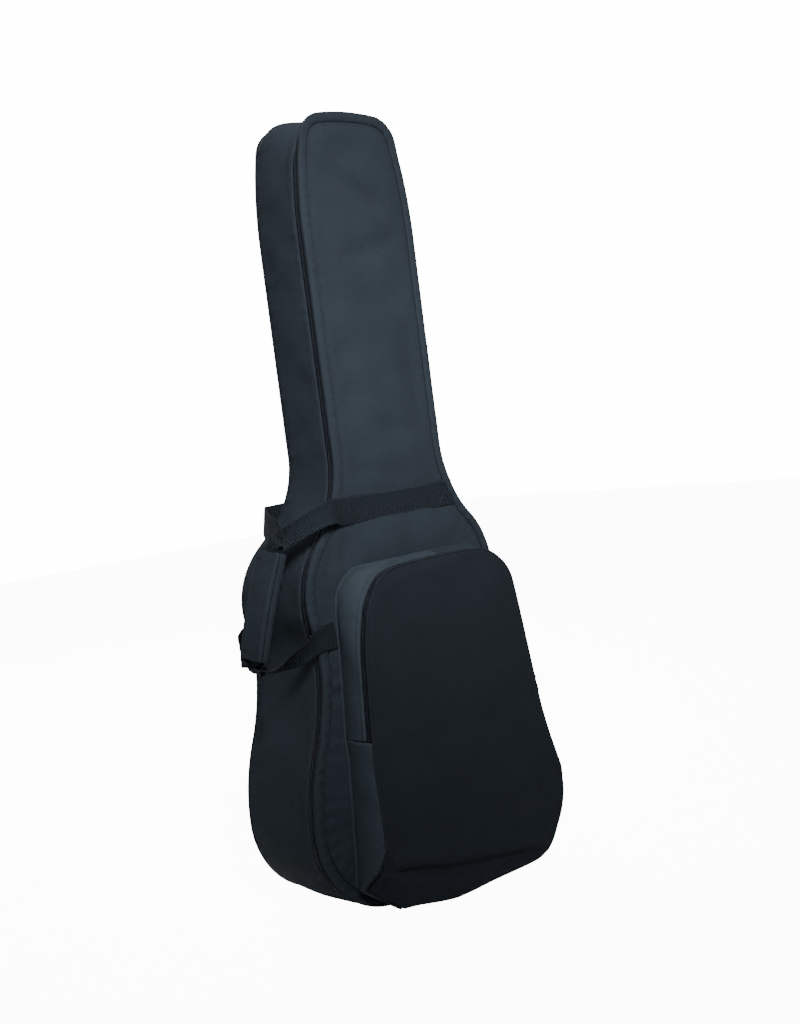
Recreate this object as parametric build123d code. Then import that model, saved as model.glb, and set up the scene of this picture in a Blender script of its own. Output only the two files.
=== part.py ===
from build123d import *
import math
import os

# A padded soft case (gig bag) for an acoustic guitar, standing upright.
# X runs to the right, Y to the back, Z up.  The origin is the middle of the flat base.

# ---- Outline of the bag, seen from the front (mm) ----
HEIGHT = 1100.0
BASE_HALF = 85.0
BODY_HALF, BODY_Z = 215.0, 130.0
WAIST_HALF, WAIST_Z = 169.5, 360.0
UPPER_HALF, UPPER_Z = 179.5, 432.0
NECK_HALF, NECK_ROOT_Z, NECK_END_Z = 101.5, 632.0, 930.0
TOP_LOW_Z, TOP_LOW_LEAN, TOP_HIGH_LEAN = 1062.0, 12.2, 83.0

# ---- Depth of the bag, seen from the side (mm) ----
FRONT_Y, REAR_BODY_Y, REAR_NECK_Y = -77.5, 77.5, 25.5
TAPER_LOW_Z, TAPER_HIGH_Z = 420.0, 640.0
ZIP_Y = FRONT_Y + 11.0

# ---- Padded wall: cover, foam, lining ----
COVER = 1.2
FOAM = 8.0
LINING = 1.0
SEAM_GAP = 0.1
PIPING = 3.8
BAND_FACE = 14.0
BAND_DEPTH = 6.5

# ---- Zippers ----
ZIP_GAP = 1.6
TAPE_WIDTH = 3.6
TAPE_OUT, TAPE_IN = 0.4, 1.8
LID_INSET = 6.0
HINGE_LOW_Z, HINGE_HIGH_Z = 75.0, 200.0
SLIDER_LONG, SLIDER_HALF_WIDE = 14.0, 4.4
UPPER_SLIDER_Z, LOWER_SLIDER_Z = 800.0, 768.0
PULL_LONG, PULL_WIDE, PULL_THICK = 24.0, 8.0, 1.4

# ---- Front pocket ----
POCKET_DEEP = 58.0
POCKET_TOP_Z = 475.0
POCKET_OPEN_Z = 245.0
POCKET_LEFT = (Vector(-158, 90), Vector(-134, 425))
POCKET_RIGHT = (Vector(200, 120), Vector(158, 425))
POCKET_LEFT_RADIUS, POCKET_RIGHT_RADIUS = 52.0, 66.0
POCKET_BEND_Z, POCKET_FOOT_Z, POCKET_FOOT_DEEP = 107.0, 16.0, 5.0
POCKET_WALL = 1.5
POCKET_EDGE = 4.0
POCKET_ZIP_BACK = 9.5
ACCENT_END_X = 30.0
POCKET_SLIDER_Z = 262.0

# ---- Webbing and carrying handle ----
WEB_WIDE, WEB_THICK = 38.0, 2.0
BAND_Z = 553.0
BAND_SEAM_X = -82.0
GRIP_TOP = Vector(-197, -42, 513)
GRIP_FOOT = Vector(-241, -28, 375)
GRIP_WIDE, GRIP_THICK, GRIP_WALL = 46.0, 20.0, 5.0
WEB_IN_GRIP = 33.0
FRONT_LAYER, REAR_LAYER = 1.6, -2.4

# ---- Shoulder straps on the back ----
PAD_WIDE, PAD_THICK = 55.0, 10.0
PAD_TOP, PAD_FOOT = Vector(38, 612), Vector(92, 262)
TAIL_FOOT = Vector(152, 82)
TAIL_WIDE, TAIL_THICK = 25.0, 1.6
LOCK_WIDE, LOCK_LONG, LOCK_THICK = 36.0, 30.0, 5.0


# ---- Shared shapes ----
def s_curve(start, end, share):
    """Two arcs, upright at both ends, that meet on the chord at this share of its length."""
    meet = start + (end - start) * share
    return TangentArc(start, meet, tangent=(0, 1)) + TangentArc(end, meet, tangent=(0, -1))


def s_meeting(start, end, share):
    """The point where an s_curve's arcs meet, and its heading there, in degrees inwards from upright."""
    meet = start + (end - start) * share
    return meet.X, meet.Y, 2 * math.degrees(math.atan2(start.X - end.X, end.Y - start.Y))


def top_junctions():
    """The two ends of the round top corner: from the leaning neck side, and to the shallow crown."""
    low_x = NECK_HALF - (TOP_LOW_Z - NECK_END_Z) * math.tan(math.radians(TOP_LOW_LEAN / 2))
    crown_slope = math.tan(math.radians((90 + TOP_HIGH_LEAN) / 2))
    corner_slope = math.tan(math.radians((TOP_LOW_LEAN + TOP_HIGH_LEAN) / 2))
    high_z = (HEIGHT * crown_slope - low_x - TOP_LOW_Z * corner_slope) / (crown_slope - corner_slope)
    high_x = (HEIGHT - high_z) * crown_slope
    return [(low_x, TOP_LOW_Z, TOP_LOW_LEAN), (high_x, high_z, TOP_HIGH_LEAN)]


def outline_junctions():
    """Points of the right half, from the base up, each with its heading: 0 is up, 90 is to the left."""
    body = Vector(BODY_HALF, BODY_Z)
    waist = Vector(WAIST_HALF, WAIST_Z)
    upper = Vector(UPPER_HALF, UPPER_Z)
    neck = Vector(NECK_HALF, NECK_ROOT_Z)
    return [
        (0, 0, -90),
        (BASE_HALF, 0, -90),
        (BODY_HALF, BODY_Z, 0),
        s_meeting(body, waist, 0.485),
        (WAIST_HALF, WAIST_Z, 0),
        s_meeting(waist, upper, 0.5),
        (UPPER_HALF, UPPER_Z, 0),
        s_meeting(upper, neck, 0.43),
        (NECK_HALF, NECK_ROOT_Z, 0),
        (NECK_HALF, NECK_END_Z, 0),
        *top_junctions(),
        (0, HEIGHT, 90),
    ]


def inset(amount):
    """The guitar-shaped outline moved in by this amount all round: every arc keeps its centre."""
    moved = []
    for x, z, heading in outline_junctions():
        turn = math.radians(heading)
        tangent = Vector(-math.sin(turn), math.cos(turn))
        moved.append((Vector(x - amount * math.cos(turn), z - amount * math.sin(turn)), tangent))
    side = Curve()
    for (start, tangent), (end, _) in zip(moved, moved[1:]):
        straight = abs((end - start).normalized().dot(tangent)) > 1 - 1e-9
        side += Line(start, end) if straight else TangentArc(start, end, tangent=tangent)
    return make_face(side + mirror(side, Plane.YZ))


def ring(outer, inner):
    """The strip of the bag's outline between two insets."""
    return inset(outer) - inset(inner)


def slab(face, front, rear):
    """A front-view face made solid from the front plane to the rear plane."""
    return extrude(Plane.XZ.offset(-rear) * face, amount=rear - front)


def within(depth_in):
    """All the space in front of the rear surface, when that is moved in by depth_in."""
    body = Vector(REAR_BODY_Y - depth_in, TAPER_LOW_Z)
    neck = Vector(REAR_NECK_Y - depth_in, TAPER_HIGH_Z)
    far_front = -300
    edge = s_curve(body, neck, 0.5) + Line(neck, (neck.X, HEIGHT + 50))
    edge += Polyline((neck.X, HEIGHT + 50), (far_front, HEIGHT + 50), (far_front, -50), (body.X, -50), body)
    return extrude(Plane.YZ * make_face(edge), amount=300, both=True)


def rear_layer(face, near, far):
    """A sheet that follows the rear surface, from near to far, both measured inwards from it."""
    return (slab(face, -60, 110) & within(near)) - within(far)


def above(z):
    return Pos(0, 0, z + 1000) * Box(2000, 2000, 2000)


def below(z):
    return Pos(0, 0, z - 1000) * Box(2000, 2000, 2000)


def right_of(x):
    return Pos(x + 1000, 0, 0) * Box(2000, 2000, 4000)


def left_of(x):
    return Pos(x - 1000, 0, 0) * Box(2000, 2000, 4000)


# ---- Rear shell: gusset, rear panel, piping, zipper half, hinge strip ----
def gusset_parts():
    wall_front = ZIP_Y + ZIP_GAP / 2 + TAPE_WIDTH + SEAM_GAP
    foam_out = COVER + SEAM_GAP
    lining_out = foam_out + FOAM + SEAM_GAP
    cover = slab(ring(0, COVER), wall_front, 90) & within(PIPING + SEAM_GAP)
    foam = slab(ring(foam_out, foam_out + FOAM), wall_front, 90) & within(foam_out + 3)
    lining = slab(ring(lining_out, lining_out + LINING), wall_front, 90)
    lining = lining & within(foam_out + FOAM + LINING + 2 * SEAM_GAP)
    return {"gusset_cover": cover, "gusset_foam": foam, "gusset_lining": lining}


def rear_panel_parts():
    foam_near = COVER + SEAM_GAP
    lining_near = foam_near + FOAM + SEAM_GAP
    foam_edge = inset(COVER + FOAM + 3 * SEAM_GAP)
    return {
        "rear_panel_cover": rear_layer(inset(PIPING + SEAM_GAP), 0, COVER),
        "rear_panel_foam": rear_layer(foam_edge, foam_near, foam_near + FOAM),
        "rear_panel_lining": rear_layer(foam_edge, lining_near, lining_near + LINING),
        "rear_piping": rear_layer(ring(0, PIPING), 0, PIPING),
    }


def main_zipper_parts():
    tape = ring(TAPE_OUT, TAPE_IN)
    front_edge = ZIP_Y - ZIP_GAP / 2
    rear_edge = ZIP_Y + ZIP_GAP / 2
    hinge_stretch = above(HINGE_LOW_Z) & below(HINGE_HIGH_Z) & right_of(0)
    hinge_gap = above(HINGE_LOW_Z - SEAM_GAP) & below(HINGE_HIGH_Z + SEAM_GAP) & right_of(0)
    rear_tape = slab(tape, rear_edge, rear_edge + TAPE_WIDTH)
    return {
        "main_zipper_front": slab(tape, front_edge - TAPE_WIDTH, front_edge) - hinge_gap,
        "main_zipper_rear": rear_tape - hinge_gap,
        "hinge_strip": rear_tape & hinge_stretch,
    }


# ---- Front lid: band, panel, pocket ----
def front_panel_parts():
    back = ZIP_Y - ZIP_GAP / 2
    lining_front = back - LINING
    foam_back = lining_front - SEAM_GAP
    foam_front = FRONT_Y + COVER + SEAM_GAP
    band = slab(ring(0, BAND_FACE), FRONT_Y, FRONT_Y + COVER)
    band += slab(ring(0, COVER), FRONT_Y, FRONT_Y + BAND_DEPTH)
    return {
        "front_band": band,
        "front_panel_cover": slab(inset(BAND_FACE + SEAM_GAP), FRONT_Y, FRONT_Y + COVER),
        "front_panel_foam": slab(inset(LID_INSET), foam_front, foam_back),
        "front_panel_lining": slab(inset(LID_INSET), lining_front, back),
    }


def pocket_outline():
    """The pocket from the front: two leaning sides, a level top with round corners, the bag's bottom edge."""
    low_left, high_left = POCKET_LEFT
    low_right, high_right = POCKET_RIGHT
    left_lean = (high_left - low_left) / (high_left.Y - low_left.Y)
    right_lean = (high_right - low_right) / (high_right.Y - low_right.Y)
    corners = [
        low_left - left_lean * (low_left.Y + 20),
        high_left + left_lean * (POCKET_TOP_Z - high_left.Y),
        high_right + right_lean * (POCKET_TOP_Z - high_right.Y),
        low_right - right_lean * (low_right.Y + 20),
    ]
    shape = make_face(Polyline(*corners, close=True))
    tops = shape.vertices().filter_by(lambda v: v.Y > POCKET_TOP_Z - 1).sort_by(Axis.X)
    shape = fillet(tops[0], POCKET_LEFT_RADIUS)
    right_top = shape.vertices().filter_by(lambda v: v.Y > POCKET_TOP_Z - 1).sort_by(Axis.X)[-1]
    shape = fillet(right_top, POCKET_RIGHT_RADIUS)
    return shape & inset(BAND_FACE + 2)


POCKET = pocket_outline()
POCKET_Y = FRONT_Y - POCKET_DEEP


def pocket_inset(amount):
    return offset(POCKET, amount=-amount, kind=Kind.ARC)


def pocket_ring(outer, inner):
    """The strip of the pocket's outline between two insets."""
    return (pocket_inset(outer) if outer else POCKET) - pocket_inset(inner)


def behind_pocket_front(depth_in):
    """All the space behind the pocket's front surface moved in by depth_in: flat, then curved in at the foot."""
    face_y = POCKET_Y + depth_in
    foot = Vector(FRONT_Y - POCKET_FOOT_DEEP + depth_in, POCKET_FOOT_Z)
    edge = TangentArc((face_y, POCKET_BEND_Z), foot, tangent=(0, -1))
    edge += Polyline(foot, (foot.X, -50), (0, -50), (0, 600), (face_y, 600), (face_y, POCKET_BEND_Z))
    return extrude(Plane.YZ * make_face(edge), amount=300, both=True)


def pocket_parts():
    root_y = FRONT_Y - 2 * SEAM_GAP
    zip_y = POCKET_Y + POCKET_ZIP_BACK
    tape_rear = zip_y + ZIP_GAP / 2
    tape_front = zip_y - ZIP_GAP / 2
    wall = pocket_ring(0, POCKET_WALL)
    tape = pocket_ring(TAPE_OUT, TAPE_IN)
    edge = pocket_ring(0, POCKET_EDGE)
    face = pocket_inset(POCKET_EDGE + SEAM_GAP)
    opened = above(POCKET_OPEN_Z + SEAM_GAP)
    closed = below(POCKET_OPEN_Z - SEAM_GAP)
    high_wall = slab(wall, tape_rear + TAPE_WIDTH + SEAM_GAP, root_y) & opened
    low_wall = slab(wall, POCKET_Y, root_y) & behind_pocket_front(POCKET_EDGE + SEAM_GAP) & closed
    low_edge = (slab(edge, POCKET_Y, root_y) & behind_pocket_front(0)) - behind_pocket_front(POCKET_EDGE)
    low_face = (slab(face, POCKET_Y, root_y) & behind_pocket_front(0)) - behind_pocket_front(COVER)
    return {
        "pocket_gusset_accent": high_wall & left_of(ACCENT_END_X),
        "pocket_gusset_right": high_wall & right_of(ACCENT_END_X + SEAM_GAP),
        "pocket_gusset_low_left": low_wall & left_of(-1) & above(POCKET_FOOT_Z + 8),
        "pocket_gusset_low_right": low_wall & right_of(1) & above(POCKET_FOOT_Z + 8),
        "pocket_front_lower": low_face & closed,
        "pocket_piping_lower": low_edge & closed & above(POCKET_FOOT_Z + 8),
        "pocket_zipper_rear": slab(tape, tape_rear, tape_rear + TAPE_WIDTH) & opened,
        "pocket_zipper_front": slab(tape, tape_front - TAPE_WIDTH, tape_front) & opened,
        "pocket_piping_upper": slab(edge, POCKET_Y, POCKET_Y + POCKET_EDGE) & opened,
        "pocket_front_upper": slab(face, POCKET_Y, POCKET_Y + COVER) & opened,
    }


# ---- Sliders and pulls ----
def slider_parts(frame):
    """A slider and its hanging pull.  In the frame, x points out of the bag and z along the zipper."""
    plate = 2.0
    clear = 0.3
    bar_out = 5.5
    bar_radius = 1.0
    outer = Pos(clear + plate / 2, 0, 0) * Box(plate, 2 * SLIDER_HALF_WIDE, SLIDER_LONG)
    inner = Pos(-TAPE_IN - clear - plate / 2, 0, 0) * Box(plate, 2 * SLIDER_HALF_WIDE, SLIDER_LONG)
    post = Pos(-0.9, 0, SLIDER_LONG / 4) * Box(2.6, ZIP_GAP - 2 * clear, 5)
    slider = fillet((outer + inner).edges().filter_by(Axis.X), 1.5) + post
    for side in (-1, 1):
        slider += Pos(clear + bar_out / 2 + 0.4, side * 3.5, 0) * Box(bar_out + 0.8, 1.2, 3.2)
    bar = Pos(bar_out, 0, 0) * Rot(90, 0, 0) * Cylinder(bar_radius, 7)
    eye = Pos(bar_out, 0, 0) * Rot(90, 0, 0) * Cylinder(2.6, 5)
    blade = Pos(bar_out, 0, -PULL_LONG / 2 - 1) * Box(PULL_THICK, 5, PULL_LONG - 2)
    tab = Pos(bar_out, 0, -PULL_LONG * 0.72) * Box(PULL_THICK, PULL_WIDE, PULL_LONG * 0.56)
    tab = fillet(tab.edges().filter_by(Axis.X), 2.0)
    pull = eye + blade + tab
    pull -= Pos(bar_out, 0, 0) * Rot(90, 0, 0) * Cylinder(bar_radius + clear, 12)
    pull -= Pos(bar_out, 0, -PULL_LONG + 4.5) * Rot(0, 90, 0) * Cylinder(1.5, 12)
    return frame * (slider + bar), frame * pull


def all_slider_parts():
    upper = Plane(origin=(NECK_HALF, ZIP_Y, UPPER_SLIDER_Z), x_dir=(1, 0, 0), z_dir=(0, 0, 1))
    lower = Plane(origin=(NECK_HALF, ZIP_Y, LOWER_SLIDER_Z), x_dir=(1, 0, 0), z_dir=(0, 0, 1))
    low, high = POCKET_RIGHT
    lean = (high - low).normalized()
    place = low + (high - low) * ((POCKET_SLIDER_Z - low.Y) / (high.Y - low.Y))
    pocket = Plane(
        origin=(place.X, POCKET_Y + POCKET_ZIP_BACK, place.Y),
        x_dir=(lean.Y, 0, -lean.X),
        z_dir=(lean.X, 0, lean.Y),
    )
    parts = {}
    for name, frame in (("main_upper", upper), ("main_lower", lower), ("pocket", pocket)):
        parts[name + "_slider"], parts[name + "_pull"] = slider_parts(frame)
    return parts


# ---- Webbing ----
def ribbon(stations, thickness=WEB_THICK):
    """Flat webbing through stations of (centre, direction across it, width), with its ends square."""
    centres = [station[0] for station in stations]
    sections = []
    for index, (centre, across, width) in enumerate(stations):
        before = centres[max(index - 1, 0)]
        after = centres[min(index + 1, len(centres) - 1)]
        frame = Plane(origin=centre, x_dir=across, z_dir=(after - before).normalized())
        sections.append(frame * Rectangle(width, thickness))
    return loft(sections, ruled=True)


GRIP_UP = (GRIP_TOP - GRIP_FOOT).normalized()
GRIP_LONG = (GRIP_TOP - GRIP_FOOT).length
GRIP = Plane(origin=(GRIP_TOP + GRIP_FOOT) * 0.5, x_dir=(0.03, 1, 0.09), z_dir=GRIP_UP)


def in_grip(layer, height):
    """A point inside the grip: layer is out from its middle plane, height is along it from its middle."""
    return GRIP.from_local_coords(Vector(0, layer, height))


def front_loop():
    """Webbing from the waist band, round into the top of the grip, out below and back to the front."""
    half = GRIP_LONG / 2
    face_y = FRONT_Y - WEB_THICK / 2 - 0.3
    across = GRIP.x_dir
    stations = [
        (Vector(BAND_SEAM_X, face_y, BAND_Z), Vector(0, 0, 1), WEB_WIDE),
        (Vector(-116, face_y, BAND_Z), Vector(0, 0, 1), WEB_WIDE),
        (Vector(-142, -84, 551), Vector(0, 0.35, 0.94), WEB_WIDE),
        (Vector(-166, -78, 545), Vector(0, 0.75, 0.66), WEB_WIDE),
        (Vector(-188, -60, 542), Vector(-0.1, 0.97, 0.2), WEB_WIDE),
        (in_grip(FRONT_LAYER, half + 16), across, WEB_IN_GRIP + 1),
        (in_grip(FRONT_LAYER, half + 3), across, WEB_IN_GRIP),
        (in_grip(FRONT_LAYER, half - 8), across, WEB_IN_GRIP),
        (in_grip(FRONT_LAYER, 8 - half), across, WEB_IN_GRIP),
        (in_grip(FRONT_LAYER, -3 - half), across, WEB_IN_GRIP),
        (in_grip(FRONT_LAYER - 1, -16 - half), across, WEB_IN_GRIP + 1),
        (Vector(-236, -38, 346), Vector(0.1, 0.97, -0.2), WEB_WIDE),
        (Vector(-216, -56, 353), Vector(0.1, 0.75, -0.66), WEB_WIDE),
        (Vector(-193, -75, 373), Vector(0, 0.3, -0.95), WEB_WIDE),
        (Vector(-172, face_y - 1, 386), Vector(0, 0, -1), WEB_WIDE),
        (Vector(-141, face_y, 388), Vector(0, 0, -1), WEB_WIDE),
    ]
    return ribbon(stations)


def rear_loop():
    """Webbing from the rear band, round into the grip under the front loop, out below and to the rear."""
    half = GRIP_LONG / 2
    across = GRIP.x_dir
    lift = WEB_THICK / 2 + 0.5
    stations = [
        (Vector(-116, 43 + lift, BAND_Z), Vector(0, 0.35, -0.94), WEB_WIDE),
        (Vector(-138, 42, 551), Vector(0, 0.6, -0.8), WEB_WIDE),
        (Vector(-158, 28, 547), Vector(0, 0.85, -0.5), WEB_WIDE),
        (Vector(-175, 2, 538), Vector(0, 0.97, -0.2), WEB_WIDE),
        (in_grip(REAR_LAYER, half + 14), across, WEB_IN_GRIP),
        (in_grip(REAR_LAYER, half + 3), across, WEB_IN_GRIP),
        (in_grip(REAR_LAYER, half - 8), across, WEB_IN_GRIP),
        (in_grip(REAR_LAYER, 8 - half), across, WEB_IN_GRIP),
        (in_grip(REAR_LAYER, -3 - half), across, WEB_IN_GRIP),
        (in_grip(REAR_LAYER + 1, -11 - half), across, WEB_IN_GRIP),
        (Vector(-229, -8, 362), Vector(0, 0.97, 0.2), WEB_WIDE),
        (Vector(-215, 28, 368), Vector(0, 0.7, 0.7), WEB_WIDE),
        (Vector(-197, 61, 379), Vector(0, 0.3, 0.95), WEB_WIDE),
        (Vector(-178, REAR_BODY_Y + lift + 1, 386), Vector(0, 0, 1), WEB_WIDE),
        (Vector(-138, REAR_BODY_Y + lift, 388), Vector(0, 0, 1), WEB_WIDE),
    ]
    return ribbon(stations)


def band_face(start_x, end_x):
    return Pos((start_x + end_x) / 2, BAND_Z) * Rectangle(abs(end_x - start_x), WEB_WIDE)


def webbing_parts():
    half_band = 113.0
    band_y = FRONT_Y - 0.3
    return {
        "waist_band": slab(band_face(BAND_SEAM_X + SEAM_GAP, half_band), band_y - WEB_THICK, band_y),
        "rear_waist_band": rear_layer(band_face(-half_band, half_band), -1.9, -0.3),
        "front_handle_loop": front_loop(),
        "rear_handle_loop": rear_loop(),
    }


# ---- Grip: padded sleeve closed by a hook-and-loop flap ----
def grip_parts():
    half_wide = GRIP_WIDE / 2
    half_thick = GRIP_THICK / 2
    flap_in = 4.2
    tape = 0.9
    sleeve = extrude(Plane.XY * RectangleRounded(GRIP_WIDE, GRIP_THICK, 5), amount=GRIP_LONG / 2, both=True)
    hollow = Pos(0, half_thick, 0) * Box(GRIP_WIDE - 2 * GRIP_WALL, 2 * (GRIP_THICK - GRIP_WALL), 400)
    outside = Pos(0, flap_in + 50, 0) * Box(200, 100, 400)
    seat = Pos(half_wide, flap_in, 0) * Box(2 * GRIP_WALL, 2 * (tape + SEAM_GAP), 400)
    flap = (sleeve & (Pos(0, SEAM_GAP, 0) * outside)) - seat
    strip_x = half_wide - GRIP_WALL / 2
    strip = Box(GRIP_WALL - 1, tape, GRIP_LONG - 12)
    return {
        "grip_pad": GRIP * (sleeve - hollow - outside - seat),
        "grip_flap": GRIP * flap,
        "grip_loop_tape": GRIP * (Pos(strip_x, flap_in - tape / 2 - SEAM_GAP / 2, 0) * strip),
        "grip_hook_tape": GRIP * (Pos(strip_x, flap_in + tape / 2 + SEAM_GAP, 0) * strip),
    }


# ---- Shoulder straps ----
def strap_face(start, end, width, corner=4.0):
    """A straight strap seen from the front, from start to end."""
    along = end - start
    middle = (start + end) * 0.5
    turn = math.degrees(math.atan2(along.Y, along.X))
    return Pos(middle.X, middle.Y) * Rot(0, 0, turn) * RectangleRounded(along.length, width, corner)


def strap_parts(side):
    """One shoulder strap: padded part, ladder lock, adjusting webbing and the tab at the lower corner."""
    def placed(point):
        return Vector(side * point.X, point.Y)

    along = (PAD_FOOT - PAD_TOP).normalized()
    lock_middle = PAD_FOOT + along * (LOCK_LONG / 2 + 1)
    lock_start = lock_middle - along * (LOCK_LONG / 2)
    lock_end = lock_middle + along * (LOCK_LONG / 2)
    name = "left" if side < 0 else "right"
    lock = strap_face(placed(lock_start), placed(lock_end), LOCK_WIDE)
    for share in (0.28, 0.72):
        slot_middle = lock_start + (lock_end - lock_start) * share
        slot_start, slot_end = slot_middle - along * 3.5, slot_middle + along * 3.5
        lock -= strap_face(placed(slot_start), placed(slot_end), TAIL_WIDE + 2, 1.5)
    tail_start = PAD_FOOT + along * 4
    tab_middle = TAIL_FOOT
    tab = Pos(side * tab_middle.X, tab_middle.Y) * RectangleRounded(44, 30, 4)
    return {
        "shoulder_pad_" + name: rear_layer(
            strap_face(placed(PAD_TOP), placed(PAD_FOOT), PAD_WIDE), -3 - PAD_THICK, -3),
        "ladder_lock_" + name: rear_layer(lock, -5 - LOCK_THICK, -5),
        "strap_tail_" + name: rear_layer(
            strap_face(placed(tail_start), placed(TAIL_FOOT), TAIL_WIDE), -2.6 - TAIL_THICK, -2.6),
        "strap_tab_" + name: rear_layer(tab, -2.1, -0.3),
    }


def yoke_part():
    """The sewn patch across the back that holds the top ends of both shoulder straps."""
    patch = Pos(0, PAD_TOP.Y - 8) * RectangleRounded(150, 48, 8)
    return {"strap_yoke": rear_layer(patch, -2.1, -0.3)}


def main():
    os.makedirs("parts", exist_ok=True)
    parts = {}
    parts.update(gusset_parts())
    parts.update(rear_panel_parts())
    parts.update(main_zipper_parts())
    parts.update(front_panel_parts())
    parts.update(pocket_parts())
    parts.update(all_slider_parts())
    parts.update(webbing_parts())
    parts.update(grip_parts())
    for side in (-1, 1):
        parts.update(strap_parts(side))
    parts.update(yoke_part())
    for name, shape in parts.items():
        export_step(shape, os.path.join("parts", name + ".step"))
        print(name, round(shape.volume))


main()
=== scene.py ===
# %% [markdown]
# This lesson dresses a padded guitar bag.  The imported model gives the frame: where every piece sits
# and how the lid, the pocket flap, the grip and the zipper sliders move.  Here the plain solids are
# exchanged for cloth, webbing, zippers and thread, one kind of piece at a time.

# %% Load the frame
import math

import bmesh
import bpy
import numpy as np
from mathutils import Matrix, Vector


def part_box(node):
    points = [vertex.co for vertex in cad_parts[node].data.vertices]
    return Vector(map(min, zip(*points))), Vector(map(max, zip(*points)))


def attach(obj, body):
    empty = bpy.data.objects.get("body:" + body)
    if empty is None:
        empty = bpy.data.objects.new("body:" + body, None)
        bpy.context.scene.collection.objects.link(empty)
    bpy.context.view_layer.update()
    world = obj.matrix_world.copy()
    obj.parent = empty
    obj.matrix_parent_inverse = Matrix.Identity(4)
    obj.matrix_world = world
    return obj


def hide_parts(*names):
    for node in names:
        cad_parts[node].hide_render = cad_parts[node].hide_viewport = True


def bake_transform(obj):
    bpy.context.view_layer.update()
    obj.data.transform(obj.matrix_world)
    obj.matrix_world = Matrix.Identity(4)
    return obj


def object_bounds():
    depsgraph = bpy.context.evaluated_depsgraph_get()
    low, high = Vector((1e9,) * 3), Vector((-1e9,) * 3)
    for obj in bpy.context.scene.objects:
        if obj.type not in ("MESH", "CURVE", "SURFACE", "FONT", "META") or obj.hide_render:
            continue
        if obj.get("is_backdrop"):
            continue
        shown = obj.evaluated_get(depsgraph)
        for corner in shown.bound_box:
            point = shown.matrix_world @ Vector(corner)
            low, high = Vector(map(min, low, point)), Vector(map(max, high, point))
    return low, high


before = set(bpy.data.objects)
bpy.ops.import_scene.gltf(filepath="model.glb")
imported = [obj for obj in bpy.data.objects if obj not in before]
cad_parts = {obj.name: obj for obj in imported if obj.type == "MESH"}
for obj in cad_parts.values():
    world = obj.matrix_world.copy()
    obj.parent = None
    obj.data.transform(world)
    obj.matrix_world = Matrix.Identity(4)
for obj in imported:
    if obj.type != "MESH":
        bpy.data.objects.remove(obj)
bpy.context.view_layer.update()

# %% [markdown]
# The camera comes first, so that every later step can be looked at from the same place.  The bag is
# seen from its front left, a little above its middle, through a short telephoto lens, and the camera
# is rolled a few degrees so that the bag leans.  A matrix of the camera's own right, up and back
# directions says that in one go.  Angles would need three turns in the right order.

# %% Camera
CAMERA_PLACE = (-1.20545, -1.42308, 0.66380)
CAMERA_RIGHT = (0.75139, -0.64689, -0.13015)
CAMERA_UP = (0.13852, -0.03820, 0.98962)
CAMERA_BACK = (-0.64515, -0.76162, 0.06091)
LENS = 44.975
SENSOR_WIDE = 36.0
SHIFT_X, SHIFT_Y = 0.0387, -0.0056
BAG_MIDDLE = (0, 0, 0.55)

camera_data = bpy.data.cameras.new("camera")
camera_data.lens = LENS
camera_data.sensor_width = SENSOR_WIDE
camera_data.shift_x, camera_data.shift_y = SHIFT_X, SHIFT_Y
camera = bpy.data.objects.new("camera", camera_data)
bpy.context.scene.collection.objects.link(camera)
axes = Matrix((CAMERA_RIGHT, CAMERA_UP, CAMERA_BACK)).transposed()
camera.matrix_world = Matrix.Translation(CAMERA_PLACE) @ axes.to_4x4()
bpy.context.scene.camera = camera
print("camera", round((Vector(CAMERA_PLACE) - Vector(BAG_MIDDLE)).length, 3), "m from the bag's middle")

# %% [markdown]
# The light is a studio's: a soft lamp high in front with a grid that narrows its beam, a weak one on
# the left, one above for the upper edges, one behind for the back, and an even pale surround.  The
# beam's middle meets the neck and its edge the foot, so the bag darkens downwards.  Light that grazes
# dark cloth shows its folds.

# %% Light, surround and floor
def area_lamp(name, place, aim, size, power, spread=180):
    """A square lamp at place that faces aim.  A small spread (in degrees) is a grid in front of it."""
    data = bpy.data.lights.new(name, "AREA")
    data.size = size
    data.energy = power
    data.spread = math.radians(spread)
    lamp = bpy.data.objects.new(name, data)
    bpy.context.scene.collection.objects.link(lamp)
    lamp.location = place
    lamp.rotation_euler = (Vector(aim) - Vector(place)).to_track_quat("-Z", "Y").to_euler()


area_lamp("key_lamp", (-0.9, -2.0, 2.2), (0.0, -0.1, 0.79), 0.6, 6.8, spread=30)
area_lamp("side_lamp", (-2.4, -0.1, 1.6), (0.0, 0.0, 0.6), 0.9, 2.5)
area_lamp("top_lamp", (-0.5, -0.1, 2.4), (0.0, 0.0, 0.6), 0.7, 8)
area_lamp("back_lamp", (0.9, 2.4, 1.8), (0.0, 0.0, 0.6), 1.4, 45)

world = bpy.data.worlds.new("surround")
bpy.context.scene.world = world
world.use_nodes = True
surround = world.node_tree.nodes["Background"]
surround.inputs["Color"].default_value = (0.95, 0.97, 1.0, 1)
SURROUND_LIGHT, SURROUND_SEEN = 0.30, 16.0
world_path = world.node_tree.nodes.new("ShaderNodeLightPath")
seen = world.node_tree.nodes.new("ShaderNodeMapRange")
seen.inputs["To Min"].default_value = SURROUND_LIGHT
seen.inputs["To Max"].default_value = SURROUND_SEEN
world.node_tree.links.new(world_path.outputs["Is Camera Ray"], seen.inputs["Value"])
world.node_tree.links.new(seen.outputs[0], surround.inputs["Strength"])

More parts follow.
